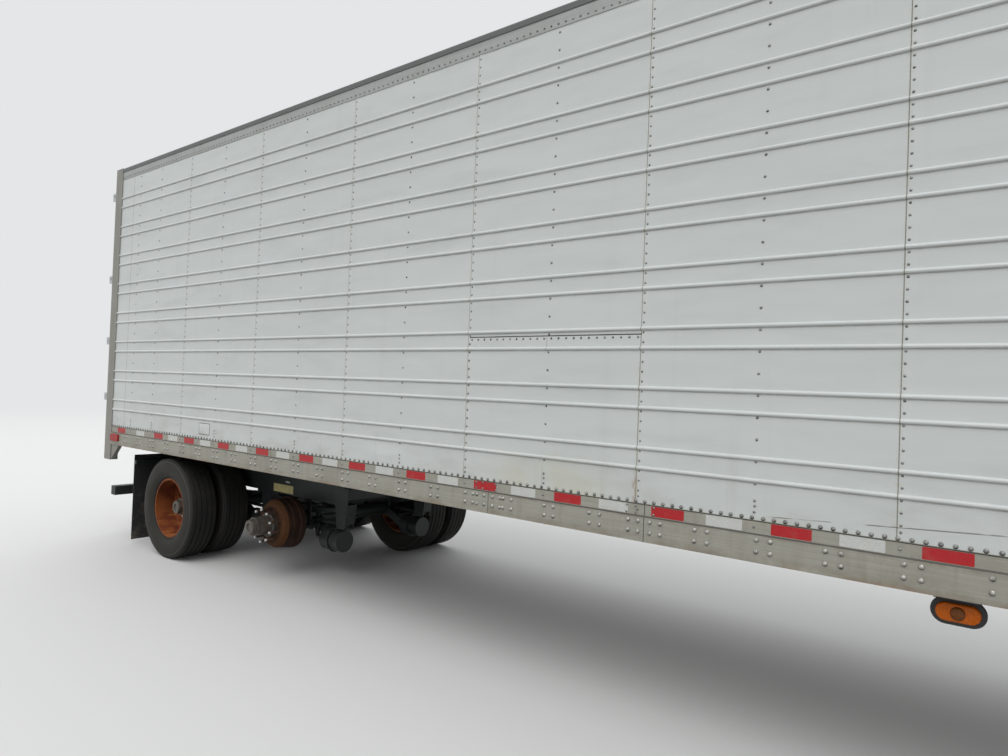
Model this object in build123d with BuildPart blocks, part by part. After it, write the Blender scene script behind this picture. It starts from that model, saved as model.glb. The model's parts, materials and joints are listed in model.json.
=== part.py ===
from build123d import *
import os

# Semi trailer: an insulated 53 ft van body on landing legs and a sliding tandem, in millimetres.
# +X runs to the nose, +Y to the left side and +Z up. The origin is on the ground under the centre
# of the whole trailer. Positions along the body are counted forward from the rear face of its frame.

# Van body
BOX_LENGTH = 16154
HALF_WIDTH = 1295
RAIL_BOTTOM = 1040
BODY_HEIGHT = 3049
WALL_THICKNESS = 64
BEAD_PROUD = 10
BEAD_WIDTH = 22
FIRST_BEAD = 374
BEAD_PERIOD = 317.7
BEAD_GAP = 105
BEAD_PAIRS = 8
KICK_HEIGHT = 300
KICK_PROUD = 8
BOTTOM_RAIL_HEIGHT = 200
RAIL_LEDGE = 130
RAIL_WEB = 12
RAIL_SETBACK = 6
RAIL_FLANGE = 8
RAIL_FLANGE_WIDTH = 58
TOP_RAIL_HEIGHT = 128
ROOF_CAP = 49
ROOF_THICKNESS = 80
ROOF_CROWN = 10
ROOF_DROP = 4
ROOF_ROLL = 18
FLOOR_HEIGHT = 290
FLOOR_DUCT = 32
FLOOR_RIB_PITCH = 58
FLOOR_RIBS = 41
FLOOR_RIB_WEB = 6
FLOOR_RIB_HEAD = 30
FRONT_WALL = 100
CORNER_RADIUS = 90
CORNER_LEG = 140
CROSSMEMBER_PITCH = 304.8
CROSSMEMBER_FIRST = 188
CROSSMEMBER_DEPTH = 132
CROSSMEMBER_FLANGE = 48
CROSSMEMBER_WEB = 6
SEAT_GAP = 0.3
DEGREES_PER_RADIAN = 57.29578

# Rear frame, doors and their hinges
FRAME_DEPTH = 150
FRAME_POST = 80
FRAME_HEADER = 149
FRAME_LEG_DROP = 170
GUSSET_REACH = 180
GUSSET_WIDTH = 40
GUSSET_INSET = 10
DOOR_THICKNESS = 64
DOOR_EDGE_GAP = 7
DOOR_CENTRE_GAP = 10
DOOR_BAR_HEIGHT = 70
DOOR_BAR_PROUD = 4
HINGE_OUT = 66
HINGE_INSET = 15
HINGE_HEIGHTS = (1560, 2180, 2865, 3790)
HINGE_KNUCKLE = 15
HINGE_PIN = 8
HINGE_PIN_GAP = 0.05
HINGE_STRAP = 350
HINGE_STRAP_THICKNESS = 14
HINGE_BLADE_HEIGHT = 28
HINGE_BUTT_HEIGHT = 80
HINGE_BUTT_PLATE = 10
HINGE_BLADE_PLAY = 1
ROD_RADIUS = 14
ROD_STANDOFF = 20
ROD_PLACES = (190, 640)
ROD_OVERRUN = 62
KEEPER_GAP = 8
KEEPER_THICKNESS = 12
KEEPER_HEIGHT = 46
KEEPER_INSET = 10
GUIDE_HEIGHTS = (1480, 2100, 2700, 3300, 3790)
GUIDE_WIDTH = 44
GUIDE_LENGTH = 56
GUIDE_WALL = 4
HANDLE_HEIGHT = 1820
HANDLE_STEP = 90
HANDLE_REACH = 380
HANDLE_BAR = 32
HANDLE_THICKNESS = 8
CATCH_WIDTH = 40
CATCH_HEIGHT = 56

# Underride guard
GUARD_OVERHANG = 140
GUARD_BAR = 100
GUARD_BOTTOM = 440
GUARD_HALF_WIDTH = 1145
GUARD_STRUT_PLACE = 450
GUARD_STRUT_WIDTH = 80
GUARD_STRUT_TOP = 120
GUARD_STRUT_FRONT = 140
GUARD_STRUT_KNEE = 190
GUARD_STRUT_CHIN = 130

# Nose
UNIT_DEPTH = 480
UNIT_HALF_WIDTH = 1010
UNIT_HEIGHT = 1890
UNIT_DROP = 49
UNIT_CHIN = 150
UNIT_BROW = 100
UNIT_SLOPE = 200
UNIT_CORNER = 90
GRILLE_RECESS = 30
GRILLE_SLATS = 14
GRILLE_BACK = 6
GRILLE_WIDTH = 1500
GRILLE_MARGIN = 260
GRILLE_GAP = 120
GLADHAND_HEIGHT = 350
GLADHAND_PLATE = 120
GLADHAND_PLACE = 300
GLADHAND_PLATE_THICKNESS = 12
GLADHAND_SIZE = (32, 70)
SOCKET_SIZE = (38, 60)
KINGPIN_SETBACK = 914
KINGPIN_SHOULDER = 36.5
KINGPIN_SHOULDER_LENGTH = 34
KINGPIN_NECK = (25.4, 35)
KINGPIN_COLLAR = (35.7, 14)
COUPLER_LENGTH = 1600
COUPLER_DROP = 60
COUPLER_PLATE = 10
COUPLER_RIB = 60
COUPLER_RIB_PLACES = (-1000, -500, 0, 500, 1000)

# Landing legs and fuel tank
LEG_SETBACK = 3900
LEG_PLACE = 900
LEG_OUTER = 130
LEG_WALL = 10
LEG_WING = 10
LEG_WING_SIZE = (340, 330)
LEG_INNER = 104
LEG_OUTER_BOTTOM = 420
LEG_INNER_TOP = 650
GEAR_CASE_WIDTH = 110
GEAR_CASE_DEPTH = 60
GEAR_CASE_HEIGHTS = (850, 990)
GEAR_CASE_CORNER = 24
BRACE_WIDTH = 50
BRACE_BAR_HEIGHTS = (450, 500)
BRACE_STRUT = 70
CRANK_HEIGHT = 900
CRANK_SHAFT = (45, 940)
CRANK_SHAFT_RADIUS = 14
CRANK_RADIUS = 12
CRANK_ARM_LOW = 620
CRANK_INSET = 75
CRANK_GRIP = 120
SHOE = 260
SHOE_THICKNESS = 16
SHOE_NECK = 70
SHOE_NECK_SIZE = (60, 140)
SHOE_LIP = 36
SHOE_LIP_FOOT = 30
TANK_RADIUS = 280
TANK_LENGTH = 1150
TANK_SETBACK = 5300
TANK_PLACE = 880
TANK_DROP = 20
TANK_END = 40
TANK_STRAP = 60
TANK_STRAP_THICKNESS = 6
TANK_HANGER_WIDTH = 300
FILLER_RADIUS = 45
FILLER_REACH = 45
FILLER_PLACE = 430

# Running gear
REAR_AXLE_SETBACK = 1360
AXLE_SPACING = 1321
TYRE_RADIUS = 495
TYRE_SECTION = 282
TREAD_WIDTH = 236
DUAL_OFFSET = 171.5
MOUNTING_FACE = 940
RIM_RADIUS = 286
RIM_WIDTH = 210
RIM_LIP = 12
DISC_THICKNESS = 11
HUB_PILOT = 110
STUD_CIRCLE = 142.875
STUD_RADIUS = 11
STUD_HOLE = 13.5
STUD_COUNT = 10
WHEEL_TURNS = {"right": 0, "left": 18}
HAND_HOLES = 5
HAND_HOLE_CIRCLE = 226
HAND_HOLE_RADIUS = 26
STUD_REACH = 95
HUB_FLANGE = 168
HUB_FLANGE_THICKNESS = 20
HUB_BARREL = 74
HUB_RING = 84
HUB_CAP = 62
NUT_RADIUS = 19
NUT_HEIGHT = 27
HUB_END = 1150
DRUM_WEB = 8
DRUM_RADIUS = 226
DRUM_WALL = 18
DRUM_MOUTH = 715
DRUM_FACE = 176
DRUM_SHOULDER = 197
DRUM_RIB = 10
SPINDLE_RADIUS = 40
SPINDLE_GAP = 0.05
AXLE_TUBE = 63.5
AXLE_TUBE_END = 700
BACKING_RADIUS = 222
BACKING_THICKNESS = 8
AXLE_SEAT = (120, 90)

# Sliding tandem
SLIDE_RAIL_LENGTH = 5200
LOCK_HOLES = 14
LOCK_HOLE_PITCH = 152.4
LOCK_HOLE_RADIUS = 16
LOCK_HOLE_REAR = 2600
SLIDE_RAIL_PLACE = 500
SLIDE_RAIL_WIDTH = 110
SLIDE_RAIL_BOTTOM = 895
SLIDE_FLANGE = 12
SLIDER_TOP = 890
SLIDER_BOTTOM = 690
SLIDER_WEB = 10
CROSSBAR_HEIGHTS = (740, 840)
CROSSBAR_WIDTH = 100
SLIDER_PAD = 200
SLIDER_CLIP = 120
HANGER_REACH = 525
HANGER_BOTTOM = 480
HANGER_TOP_WIDTH = 170
HANGER_BOTTOM_WIDTH = 110
HANGER_PLATE = 12
SPRING_PAD = 90
LEAF_THICKNESS = 14
LEAF_WIDTH = 76
LEAF_RADIUS = 3500
LEAF_LENGTHS = (1038, 858, 646, 432)
SPRING_SEAT = 570
CLAMP_PLATE = (176, 124)
CLAMP_THICKNESS = 12
CLAMP_BOLTS = (148, 96)
CLAMP_BOLT_RADIUS = 9
ROD_RISE = 15
ROD_THICKNESS = 17
ROD_EYE = 28
EQUALIZER_PIN = 16
EQUALIZER_PIN_Z = 615
EQUALIZER_REACH = 175
EQUALIZER_PAD = 70
EQUALIZER_FOOT = 45
EQUALIZER_DEPTH = 35
FLAP_SETBACK = 540
FLAP_INNER = 585
FLAP_OUTER = 1195
FLAP_BOTTOM = 40
FLAP_TOP = 950
FLAP_THICKNESS = 8
FLAP_ARM = 40
CHAMBER_DROP = 135
CHAMBER_START = 290
CHAMBER_RADIUS = 105
CHAMBER_SERVICE = 108
CHAMBER_CLAMP = 16
CHAMBER_SPRING = 116
PUSH_ROD = 9
CAM_FORWARD = 125
CAM_DROP = 45
CAM_RADIUS = 18
CHAMBER_BRACKET_PLACE = 425
AIR_TANK_RADIUS = 120
AIR_TANK_LENGTH = 700
AIR_TANK_Z = 790
AIR_TANK_END = 30

# Lamps and the repair sheet
MID_LAMP_PLACE = 7960
MID_LAMP_DROP = 80
MID_LAMP_SIZE = (190, 90)
MID_LAMP_INSET = 110
MID_LAMP_THICKNESS = 22
HOUSING_DEPTH = 18
HOUSING_MARGIN = 20
HOUSING_BRACKET = 160
HOUSING_PLATE = 6
TAIL_LAMP_PLACES = (1010, 1145)
TAIL_LAMP_HEIGHT = 1185
TAIL_LAMP_RADIUS = 50
TOP_LAMP_DROP = 60
CORNER_LAMP_PLACE = 1170
CORNER_LAMP_SIZE = (120, 40)
HEADER_LAMP_PLACES = (-160, 0, 160)
HEADER_LAMP_SIZE = (100, 32)
LAMP_PROUD = 18
NOSE_LAMP_PLACE = 1100
NOSE_LAMP_DROP = 40
NOSE_LAMP_SIZE = (110, 36)
MARKER_CORNER = 14
SIDE_LAMP_SIZE = (180, 76)
SIDE_LAMP_HEIGHT = 82
SIDE_LAMP_SETBACK = 260
FRONT_MARKER_SETBACK = 250
PATCH_REAR = 5320
PATCH_FRONT = 6530
PATCH_TOP = 1095
PATCH_THICKNESS = 2

# Places worked out from the sizes above
REAR_X = -(BOX_LENGTH + UNIT_DEPTH - GUARD_OVERHANG) / 2
FRONT_X = REAR_X + BOX_LENGTH
TOP = RAIL_BOTTOM + BODY_HEIGHT
SKIN = HALF_WIDTH - BEAD_PROUD
INNER = SKIN - WALL_THICKNESS
WALL_REAR = REAR_X + FRAME_DEPTH
WALL_FRONT = FRONT_X - CORNER_LEG
SLAB_LENGTH = FRONT_X - FRONT_WALL - WALL_REAR
WALL_LOW = RAIL_BOTTOM + BOTTOM_RAIL_HEIGHT
WALL_HIGH = TOP - TOP_RAIL_HEIGHT
FLOOR_TOP = RAIL_BOTTOM + FLOOR_HEIGHT
CROSSMEMBER_LOW = RAIL_BOTTOM + RAIL_FLANGE
FLOOR_LOW = CROSSMEMBER_LOW + CROSSMEMBER_DEPTH
TAPE_FACE = HALF_WIDTH - RAIL_SETBACK
RAIL_INSIDE = TAPE_FACE - RAIL_WEB
HEADER_LOW = TOP - FRAME_HEADER
UNIT_HIGH = TOP - UNIT_DROP
UNIT_LOW = UNIT_HIGH - UNIT_HEIGHT
UNIT_MIDDLE = (UNIT_LOW + UNIT_HIGH) / 2
GRILLES = (
    (UNIT_LOW + GRILLE_MARGIN, UNIT_MIDDLE - GRILLE_GAP / 2),
    (UNIT_MIDDLE + GRILLE_GAP / 2, UNIT_HIGH - GRILLE_MARGIN),
)
OPENING_HALF = HALF_WIDTH - FRAME_POST
COUPLER_REAR = FRONT_X - FRONT_WALL - COUPLER_LENGTH
COUPLER_BOTTOM = RAIL_BOTTOM + COUPLER_DROP
LEG_X = FRONT_X - LEG_SETBACK
AXLE_REAR_X = REAR_X + REAR_AXLE_SETBACK
AXLE_FRONT_X = AXLE_REAR_X + AXLE_SPACING
AXLE_Z = TYRE_RADIUS
FLAP_X = REAR_X + FLAP_SETBACK
HINGE_X = REAR_X - HINGE_OUT
HINGE_Y = HALF_WIDTH - HINGE_INSET
LEAF_RISE = HANGER_REACH**2 / (2 * LEAF_RADIUS)
SPRING_TOP = SPRING_SEAT + LEAF_THICKNESS * len(LEAF_LENGTHS)
SPRING_END = SPRING_TOP + LEAF_RISE + SEAT_GAP
REAR_HANGER = AXLE_REAR_X - HANGER_REACH
CENTRE_HANGER = (AXLE_REAR_X + AXLE_FRONT_X) / 2
FRONT_HANGER = AXLE_FRONT_X + HANGER_REACH
HANGER_ENDS = {REAR_HANGER: -1, CENTRE_HANGER: 0, FRONT_HANGER: 1}
SIDES = {"right": -1, "left": 1}
AXLES = {"front": AXLE_FRONT_X, "rear": AXLE_REAR_X}


def cross_section(x):
    """A plane across the trailer, sketched in (y, z), whose extrusions run forward."""
    return Plane.YZ.offset(x)


def side_section(y):
    """A plane along the trailer, sketched in (x, z), whose extrusions run to the left."""
    return Plane(origin=(0, y, 0), x_dir=(-1, 0, 0), z_dir=(0, 1, 0))


def box(x, y, z):
    """Adds a block between two corners, each given as a low and high pair."""
    middle = tuple((pair[0] + pair[1]) / 2 for pair in (x, y, z))
    with Locations(middle):
        Box(abs(x[1] - x[0]), abs(y[1] - y[0]), abs(z[1] - z[0]))


def beaded_line(side, skin, low, high):
    """Draws the outer line of a beaded sheet from its lower edge to its upper edge."""
    at = (side * skin, low)
    for pair in range(BEAD_PAIRS):
        for step in (0, BEAD_GAP):
            bead = RAIL_BOTTOM + FIRST_BEAD + pair * BEAD_PERIOD + step
            if low < bead and bead + BEAD_WIDTH < high:
                start = (side * skin, bead)
                crest = (side * (skin + BEAD_PROUD), bead + BEAD_WIDTH / 2)
                end = (side * skin, bead + BEAD_WIDTH)
                Line(at, start)
                ThreePointArc(start, crest, end)
                at = end
    Line(at, (side * skin, high))


def write(piece, name):
    """Labels a finished piece and writes its file."""
    piece.part.label = name
    export_step(piece.part, f"parts/{name}.step")


def make_side_wall(name, side):
    """One insulated side wall with its beaded skin outside and scuff band inside."""
    with BuildPart() as wall:
        with BuildSketch(cross_section(WALL_REAR)):
            with BuildLine():
                beaded_line(side, SKIN, WALL_LOW, WALL_HIGH)
                Polyline(
                    (side * SKIN, WALL_HIGH),
                    (side * INNER, WALL_HIGH),
                    (side * INNER, FLOOR_TOP + KICK_HEIGHT),
                    (side * (INNER - KICK_PROUD), FLOOR_TOP + KICK_HEIGHT - KICK_PROUD),
                    (side * (INNER - KICK_PROUD), FLOOR_TOP),
                    (side * INNER, FLOOR_TOP),
                    (side * INNER, WALL_LOW),
                    (side * SKIN, WALL_LOW),
                )
            make_face()
        extrude(amount=WALL_FRONT - WALL_REAR)
    write(wall, f"side_wall_{name}")


def make_bottom_rails():
    """The two lower side rails: a stepped web with a foot flange and a shelf for the wall."""
    low = RAIL_BOTTOM
    lip = RAIL_SETBACK / 2
    with BuildPart() as rails:
        for side in SIDES.values():
            outline = (
                (HALF_WIDTH, low),
                (HALF_WIDTH, low + RAIL_LEDGE),
                (TAPE_FACE, low + RAIL_LEDGE + RAIL_SETBACK),
                (TAPE_FACE, WALL_LOW - 2 * lip),
                (TAPE_FACE + lip, WALL_LOW - lip),
                (TAPE_FACE + lip, WALL_LOW),
                (INNER, WALL_LOW),
                (INNER, WALL_LOW - RAIL_FLANGE),
                (RAIL_INSIDE, WALL_LOW - RAIL_FLANGE),
                (RAIL_INSIDE, low + RAIL_FLANGE),
                (HALF_WIDTH - RAIL_FLANGE_WIDTH, low + RAIL_FLANGE),
                (HALF_WIDTH - RAIL_FLANGE_WIDTH, low),
            )
            with BuildSketch(cross_section(WALL_REAR)):
                with BuildLine():
                    Polyline(*[(side * y, z) for y, z in outline], close=True)
                make_face()
            extrude(amount=WALL_FRONT - WALL_REAR)
    write(rails, "bottom_rails")


def make_top_rails():
    """The two upper side rails with the rounded roof edge above their riveted face."""
    edge = TOP - ROOF_CAP
    middle = ROOF_ROLL * (1 - 0.5**0.5)
    with BuildPart() as rails:
        for side in SIDES.values():
            with BuildSketch(cross_section(WALL_REAR)):
                with BuildLine():
                    Polyline(
                        (side * (HALF_WIDTH - ROOF_ROLL), TOP),
                        (side * INNER, TOP),
                        (side * INNER, WALL_HIGH),
                        (side * TAPE_FACE, WALL_HIGH),
                        (side * TAPE_FACE, edge),
                        (side * HALF_WIDTH, edge + ROOF_DROP),
                        (side * HALF_WIDTH, TOP - ROOF_ROLL),
                    )
                    ThreePointArc(
                        (side * HALF_WIDTH, TOP - ROOF_ROLL),
                        (side * (HALF_WIDTH - middle), TOP - middle),
                        (side * (HALF_WIDTH - ROOF_ROLL), TOP),
                    )
                make_face()
            extrude(amount=WALL_FRONT - WALL_REAR)
    write(rails, "top_rails")


def make_roof():
    """The insulated roof panel, slightly crowned across its width."""
    edge = TOP - ROOF_CROWN - ROOF_DROP
    with BuildPart() as roof:
        with BuildSketch(cross_section(WALL_REAR)):
            with BuildLine():
                ThreePointArc((-INNER, edge), (0, edge + ROOF_CROWN), (INNER, edge))
                Polyline(
                    (INNER, edge),
                    (INNER, edge - ROOF_THICKNESS),
                    (-INNER, edge - ROOF_THICKNESS),
                    (-INNER, edge),
                )
            make_face()
        extrude(amount=SLAB_LENGTH)
    write(roof, "roof")


def make_floor():
    """The insulated floor slab with the T shaped ribs of its air ducts along the top."""
    slab_top = FLOOR_TOP - FLOOR_DUCT
    with BuildPart() as floor:
        with BuildSketch(cross_section(WALL_REAR)):
            with Locations((0, (FLOOR_LOW + slab_top) / 2)):
                Rectangle(2 * INNER, slab_top - FLOOR_LOW)
            with Locations((0, (slab_top + FLOOR_TOP) / 2)):
                with GridLocations(FLOOR_RIB_PITCH, 1, FLOOR_RIBS, 1):
                    Rectangle(FLOOR_RIB_WEB, FLOOR_DUCT)
            with Locations((0, FLOOR_TOP - FLOOR_RIB_WEB / 2)):
                with GridLocations(FLOOR_RIB_PITCH, 1, FLOOR_RIBS, 1):
                    Rectangle(FLOOR_RIB_HEAD, FLOOR_RIB_WEB)
        extrude(amount=SLAB_LENGTH)
    write(floor, "floor")


def make_crossmembers():
    """The floor's cross channels, from the rear frame to the coupler."""
    span = COUPLER_REAR - CROSSMEMBER_FLANGE - (REAR_X + CROSSMEMBER_FIRST)
    count = int(span // CROSSMEMBER_PITCH) + 1
    middle_z = CROSSMEMBER_LOW + CROSSMEMBER_DEPTH / 2
    places = [-REAR_X - CROSSMEMBER_FIRST - index * CROSSMEMBER_PITCH for index in range(count)]
    with BuildPart() as channels:
        with BuildSketch(side_section(-RAIL_INSIDE)):
            with Locations(*[(place, middle_z) for place in places]):
                Rectangle(CROSSMEMBER_FLANGE, CROSSMEMBER_DEPTH)
            with Locations(*[(place + CROSSMEMBER_WEB, middle_z) for place in places]):
                Rectangle(
                    CROSSMEMBER_FLANGE, CROSSMEMBER_DEPTH - 2 * CROSSMEMBER_WEB, mode=Mode.SUBTRACT
                )
        extrude(amount=2 * RAIL_INSIDE)
    write(channels, "crossmembers")


def make_front_wall():
    """The insulated bulkhead between the front corner posts."""
    half = HALF_WIDTH - CORNER_LEG
    with BuildPart() as wall:
        box((FRONT_X - FRONT_WALL, FRONT_X), (-half, half), (RAIL_BOTTOM, TOP - FRONT_WALL))
    write(wall, "front_wall")


def make_front_frame():
    """The rounded front corner posts, joined over the bulkhead by the front top rail."""
    half = HALF_WIDTH - CORNER_LEG
    with BuildPart() as frame:
        for side in SIDES.values():
            with BuildSketch(Plane.XY.offset(RAIL_BOTTOM)):
                with BuildLine():
                    Polyline(
                        (FRONT_X, side * (HALF_WIDTH - CORNER_RADIUS)),
                        (FRONT_X, side * half),
                        (FRONT_X - HALF_WIDTH + INNER, side * half),
                        (FRONT_X - HALF_WIDTH + INNER, side * INNER),
                        (WALL_FRONT, side * INNER),
                        (WALL_FRONT, side * HALF_WIDTH),
                        (FRONT_X - CORNER_RADIUS, side * HALF_WIDTH),
                    )
                    centre = (FRONT_X - CORNER_RADIUS, side * (HALF_WIDTH - CORNER_RADIUS))
                    CenterArc(centre, CORNER_RADIUS, 0, side * 90)
                make_face()
            extrude(amount=BODY_HEIGHT)
        box((FRONT_X - FRONT_WALL, FRONT_X), (-half, half), (TOP - FRONT_WALL, TOP))
    write(frame, "front_frame")


def make_rear_frame():
    """The rear door frame: posts, header, sill, legs with gussets and the rod keepers."""
    with BuildPart() as frame:
        box((REAR_X, WALL_REAR), (-HALF_WIDTH, HALF_WIDTH), (RAIL_BOTTOM, TOP))
        with Locations((REAR_X + FRAME_DEPTH / 2, 0, (FLOOR_TOP + HEADER_LOW) / 2)):
            Box(FRAME_DEPTH, 2 * OPENING_HALF, HEADER_LOW - FLOOR_TOP, mode=Mode.SUBTRACT)
        for side in SIDES.values():
            post = (side * OPENING_HALF, side * HALF_WIDTH)
            box((REAR_X, WALL_REAR), post, (RAIL_BOTTOM - FRAME_LEG_DROP, RAIL_BOTTOM))
            gusset_middle = side * (HALF_WIDTH - GUSSET_INSET - GUSSET_WIDTH / 2)
            with BuildSketch(side_section(gusset_middle - GUSSET_WIDTH / 2)):
                with BuildLine():
                    Polyline(
                        (-WALL_REAR, RAIL_BOTTOM),
                        (-WALL_REAR - GUSSET_REACH, RAIL_BOTTOM),
                        (-WALL_REAR, RAIL_BOTTOM - FRAME_LEG_DROP),
                        close=True,
                    )
                make_face()
            extrude(amount=GUSSET_WIDTH)
            for place in ROD_PLACES:
                for ear in (-1, 1):
                    near = side * place + ear * (ROD_RADIUS + KEEPER_GAP)
                    far = near + ear * KEEPER_THICKNESS
                    depth = (REAR_X - ROD_STANDOFF - ROD_RADIUS, REAR_X)
                    for low in (FLOOR_TOP - KEEPER_INSET - KEEPER_HEIGHT, HEADER_LOW + KEEPER_INSET):
                        box(depth, (near, far), (low, low + KEEPER_HEIGHT))
    write(frame, "rear_frame")


def make_hinge_butts():
    """The fixed halves of the door hinges on the rear posts, each with its pin."""
    half = HINGE_BUTT_HEIGHT / 2
    gap = HINGE_BLADE_HEIGHT / 2 + HINGE_BLADE_PLAY
    plate = REAR_X - HINGE_BUTT_PLATE
    with BuildPart() as butts:
        for side in SIDES.values():
            for height in HINGE_HEIGHTS:
                base = (side * (HINGE_Y - HINGE_KNUCKLE - 3), side * HALF_WIDTH)
                box((plate, REAR_X), base, (height - half, height + half))
                for low, high in ((-half, -gap), (gap, half)):
                    arm = (side * (HINGE_Y - HINGE_KNUCKLE), side * (HINGE_Y + HINGE_KNUCKLE))
                    box((HINGE_X, plate), arm, (height + low, height + high))
                    with Locations((HINGE_X, side * HINGE_Y, height + (low + high) / 2)):
                        Cylinder(HINGE_KNUCKLE, high - low)
                with Locations((HINGE_X, side * HINGE_Y, height)):
                    Cylinder(HINGE_PIN, HINGE_BUTT_HEIGHT)
    write(butts, "hinge_butts")


def make_door(name, side):
    """One insulated door leaf with a raised bar along its top and bottom edges."""
    leaf = (side * DOOR_CENTRE_GAP, side * (OPENING_HALF - DOOR_EDGE_GAP))
    low = FLOOR_TOP + DOOR_EDGE_GAP
    high = HEADER_LOW - DOOR_EDGE_GAP
    with BuildPart() as door:
        box((REAR_X, REAR_X + DOOR_THICKNESS), leaf, (low, high))
        for bottom in (low, high - DOOR_BAR_HEIGHT):
            bar = (bottom, bottom + DOOR_BAR_HEIGHT)
            box((REAR_X - DOOR_BAR_PROUD, REAR_X), leaf, bar)
    write(door, f"door_{name}")


def make_door_hardware(name, side):
    """The lock rods, handles and moving hinge halves of one door."""
    low = FLOOR_TOP + DOOR_EDGE_GAP - ROD_OVERRUN
    high = HEADER_LOW - DOOR_EDGE_GAP + ROD_OVERRUN
    rod_x = REAR_X - ROD_STANDOFF
    outside = rod_x - ROD_RADIUS
    strap_end = OPENING_HALF - DOOR_EDGE_GAP
    with BuildPart() as hardware:
        for number, place in enumerate(ROD_PLACES):
            y = side * place
            with Locations((rod_x, y, (low + high) / 2)):
                Cylinder(ROD_RADIUS, high - low)
            for guide in GUIDE_HEIGHTS:
                with Locations(((outside - GUIDE_WALL + REAR_X) / 2, y, guide)):
                    Box(REAR_X - outside + GUIDE_WALL, GUIDE_WIDTH, GUIDE_LENGTH)
            height = HANDLE_HEIGHT + number * HANDLE_STEP
            bar_x = rod_x - 2 - HANDLE_THICKNESS / 2
            with Locations((bar_x, y + side * HANDLE_REACH / 2, height)):
                Box(HANDLE_THICKNESS, HANDLE_REACH, HANDLE_BAR)
            catch_y = y + side * (HANDLE_REACH - CATCH_WIDTH)
            with Locations(((outside + REAR_X) / 2, catch_y, height)):
                Box(REAR_X - outside, CATCH_WIDTH, CATCH_HEIGHT)
        for height in HINGE_HEIGHTS:
            half = HINGE_BLADE_HEIGHT / 2
            strap = (side * (strap_end - HINGE_STRAP), side * strap_end)
            box((REAR_X - HINGE_STRAP_THICKNESS, REAR_X), strap, (height - 2 * half, height + 2 * half))
            with BuildSketch(Plane.XY.offset(height - half)):
                with BuildLine():
                    CenterArc((HINGE_X, side * HINGE_Y), HINGE_KNUCKLE, 0, 360)
                    Line((REAR_X, side * strap_end), (REAR_X, side * (strap_end - 14)))
                make_hull()
                with Locations((HINGE_X, side * HINGE_Y)):
                    Circle(HINGE_PIN + HINGE_PIN_GAP, mode=Mode.SUBTRACT)
            extrude(amount=HINGE_BLADE_HEIGHT)
    write(hardware, f"door_hardware_{name}")


def make_underride_guard():
    """The rear underride guard: a square bar on two raked struts below the sill."""
    back = REAR_X - GUARD_OVERHANG
    top = GUARD_BOTTOM + GUARD_BAR
    with BuildPart() as guard:
        with BuildSketch(cross_section(back)):
            with Locations((0, GUARD_BOTTOM + GUARD_BAR / 2)):
                Rectangle(2 * GUARD_HALF_WIDTH, GUARD_BAR)
        extrude(amount=GUARD_BAR)
        for side in SIDES.values():
            with BuildSketch(side_section(side * GUARD_STRUT_PLACE - GUARD_STRUT_WIDTH / 2)):
                with BuildLine():
                    Polyline(
                        (-back - GUARD_BAR / 10, top),
                        (-back - GUARD_BAR * 0.9, top),
                        (-REAR_X - GUARD_STRUT_FRONT, RAIL_BOTTOM - GUARD_STRUT_CHIN),
                        (-REAR_X - GUARD_STRUT_FRONT, RAIL_BOTTOM),
                        (-REAR_X - GUARD_STRUT_FRONT + GUARD_STRUT_TOP, RAIL_BOTTOM),
                        (-back - GUARD_BAR / 10, top + GUARD_STRUT_KNEE),
                        close=True,
                    )
                make_face()
            extrude(amount=GUARD_STRUT_WIDTH)
    write(guard, "underride_guard")


def make_refrigeration_unit():
    """The nose mounted refrigeration unit with a recess for its grille."""
    front = FRONT_X + UNIT_DEPTH
    with BuildPart() as unit:
        with BuildSketch(side_section(-UNIT_HALF_WIDTH)):
            with BuildLine():
                Polyline(
                    (-FRONT_X, UNIT_LOW),
                    (-front + UNIT_CHIN, UNIT_LOW),
                    (-front, UNIT_LOW + UNIT_SLOPE),
                    (-front, UNIT_HIGH - UNIT_SLOPE),
                    (-front + UNIT_BROW, UNIT_HIGH),
                    (-FRONT_X, UNIT_HIGH),
                    close=True,
                )
            make_face()
        extrude(amount=2 * UNIT_HALF_WIDTH)
        uprights = unit.edges().filter_by(Axis.Z).group_by(Axis.X)[-1]
        fillet(uprights, UNIT_CORNER)
        recess = (front - GRILLE_RECESS, front)
        for low, high in GRILLES:
            with Locations((sum(recess) / 2, 0, (low + high) / 2)):
                Box(GRILLE_RECESS, GRILLE_WIDTH, high - low, mode=Mode.SUBTRACT)
    write(unit, "refrigeration_unit")


def make_unit_grille():
    """The louvred grilles in the refrigeration unit's two recesses."""
    front = FRONT_X + UNIT_DEPTH
    back = front - GRILLE_RECESS
    half = GRILLE_WIDTH / 2
    with BuildPart() as grille:
        for low, high in GRILLES:
            box((back, back + GRILLE_BACK), (-half, half), (low, high))
            pitch = (high - low) / GRILLE_SLATS
            for index in range(GRILLE_SLATS):
                z = low + (index + 0.5) * pitch
                with BuildSketch(side_section(-half)):
                    with BuildLine():
                        Polyline(
                            (-back - GRILLE_BACK, z + pitch / 3),
                            (-front + GRILLE_BACK / 2, z - pitch / 4),
                            (-back - GRILLE_BACK, z - pitch / 4),
                            close=True,
                        )
                    make_face()
                extrude(amount=GRILLE_WIDTH)
    write(grille, "unit_grille")


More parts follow.
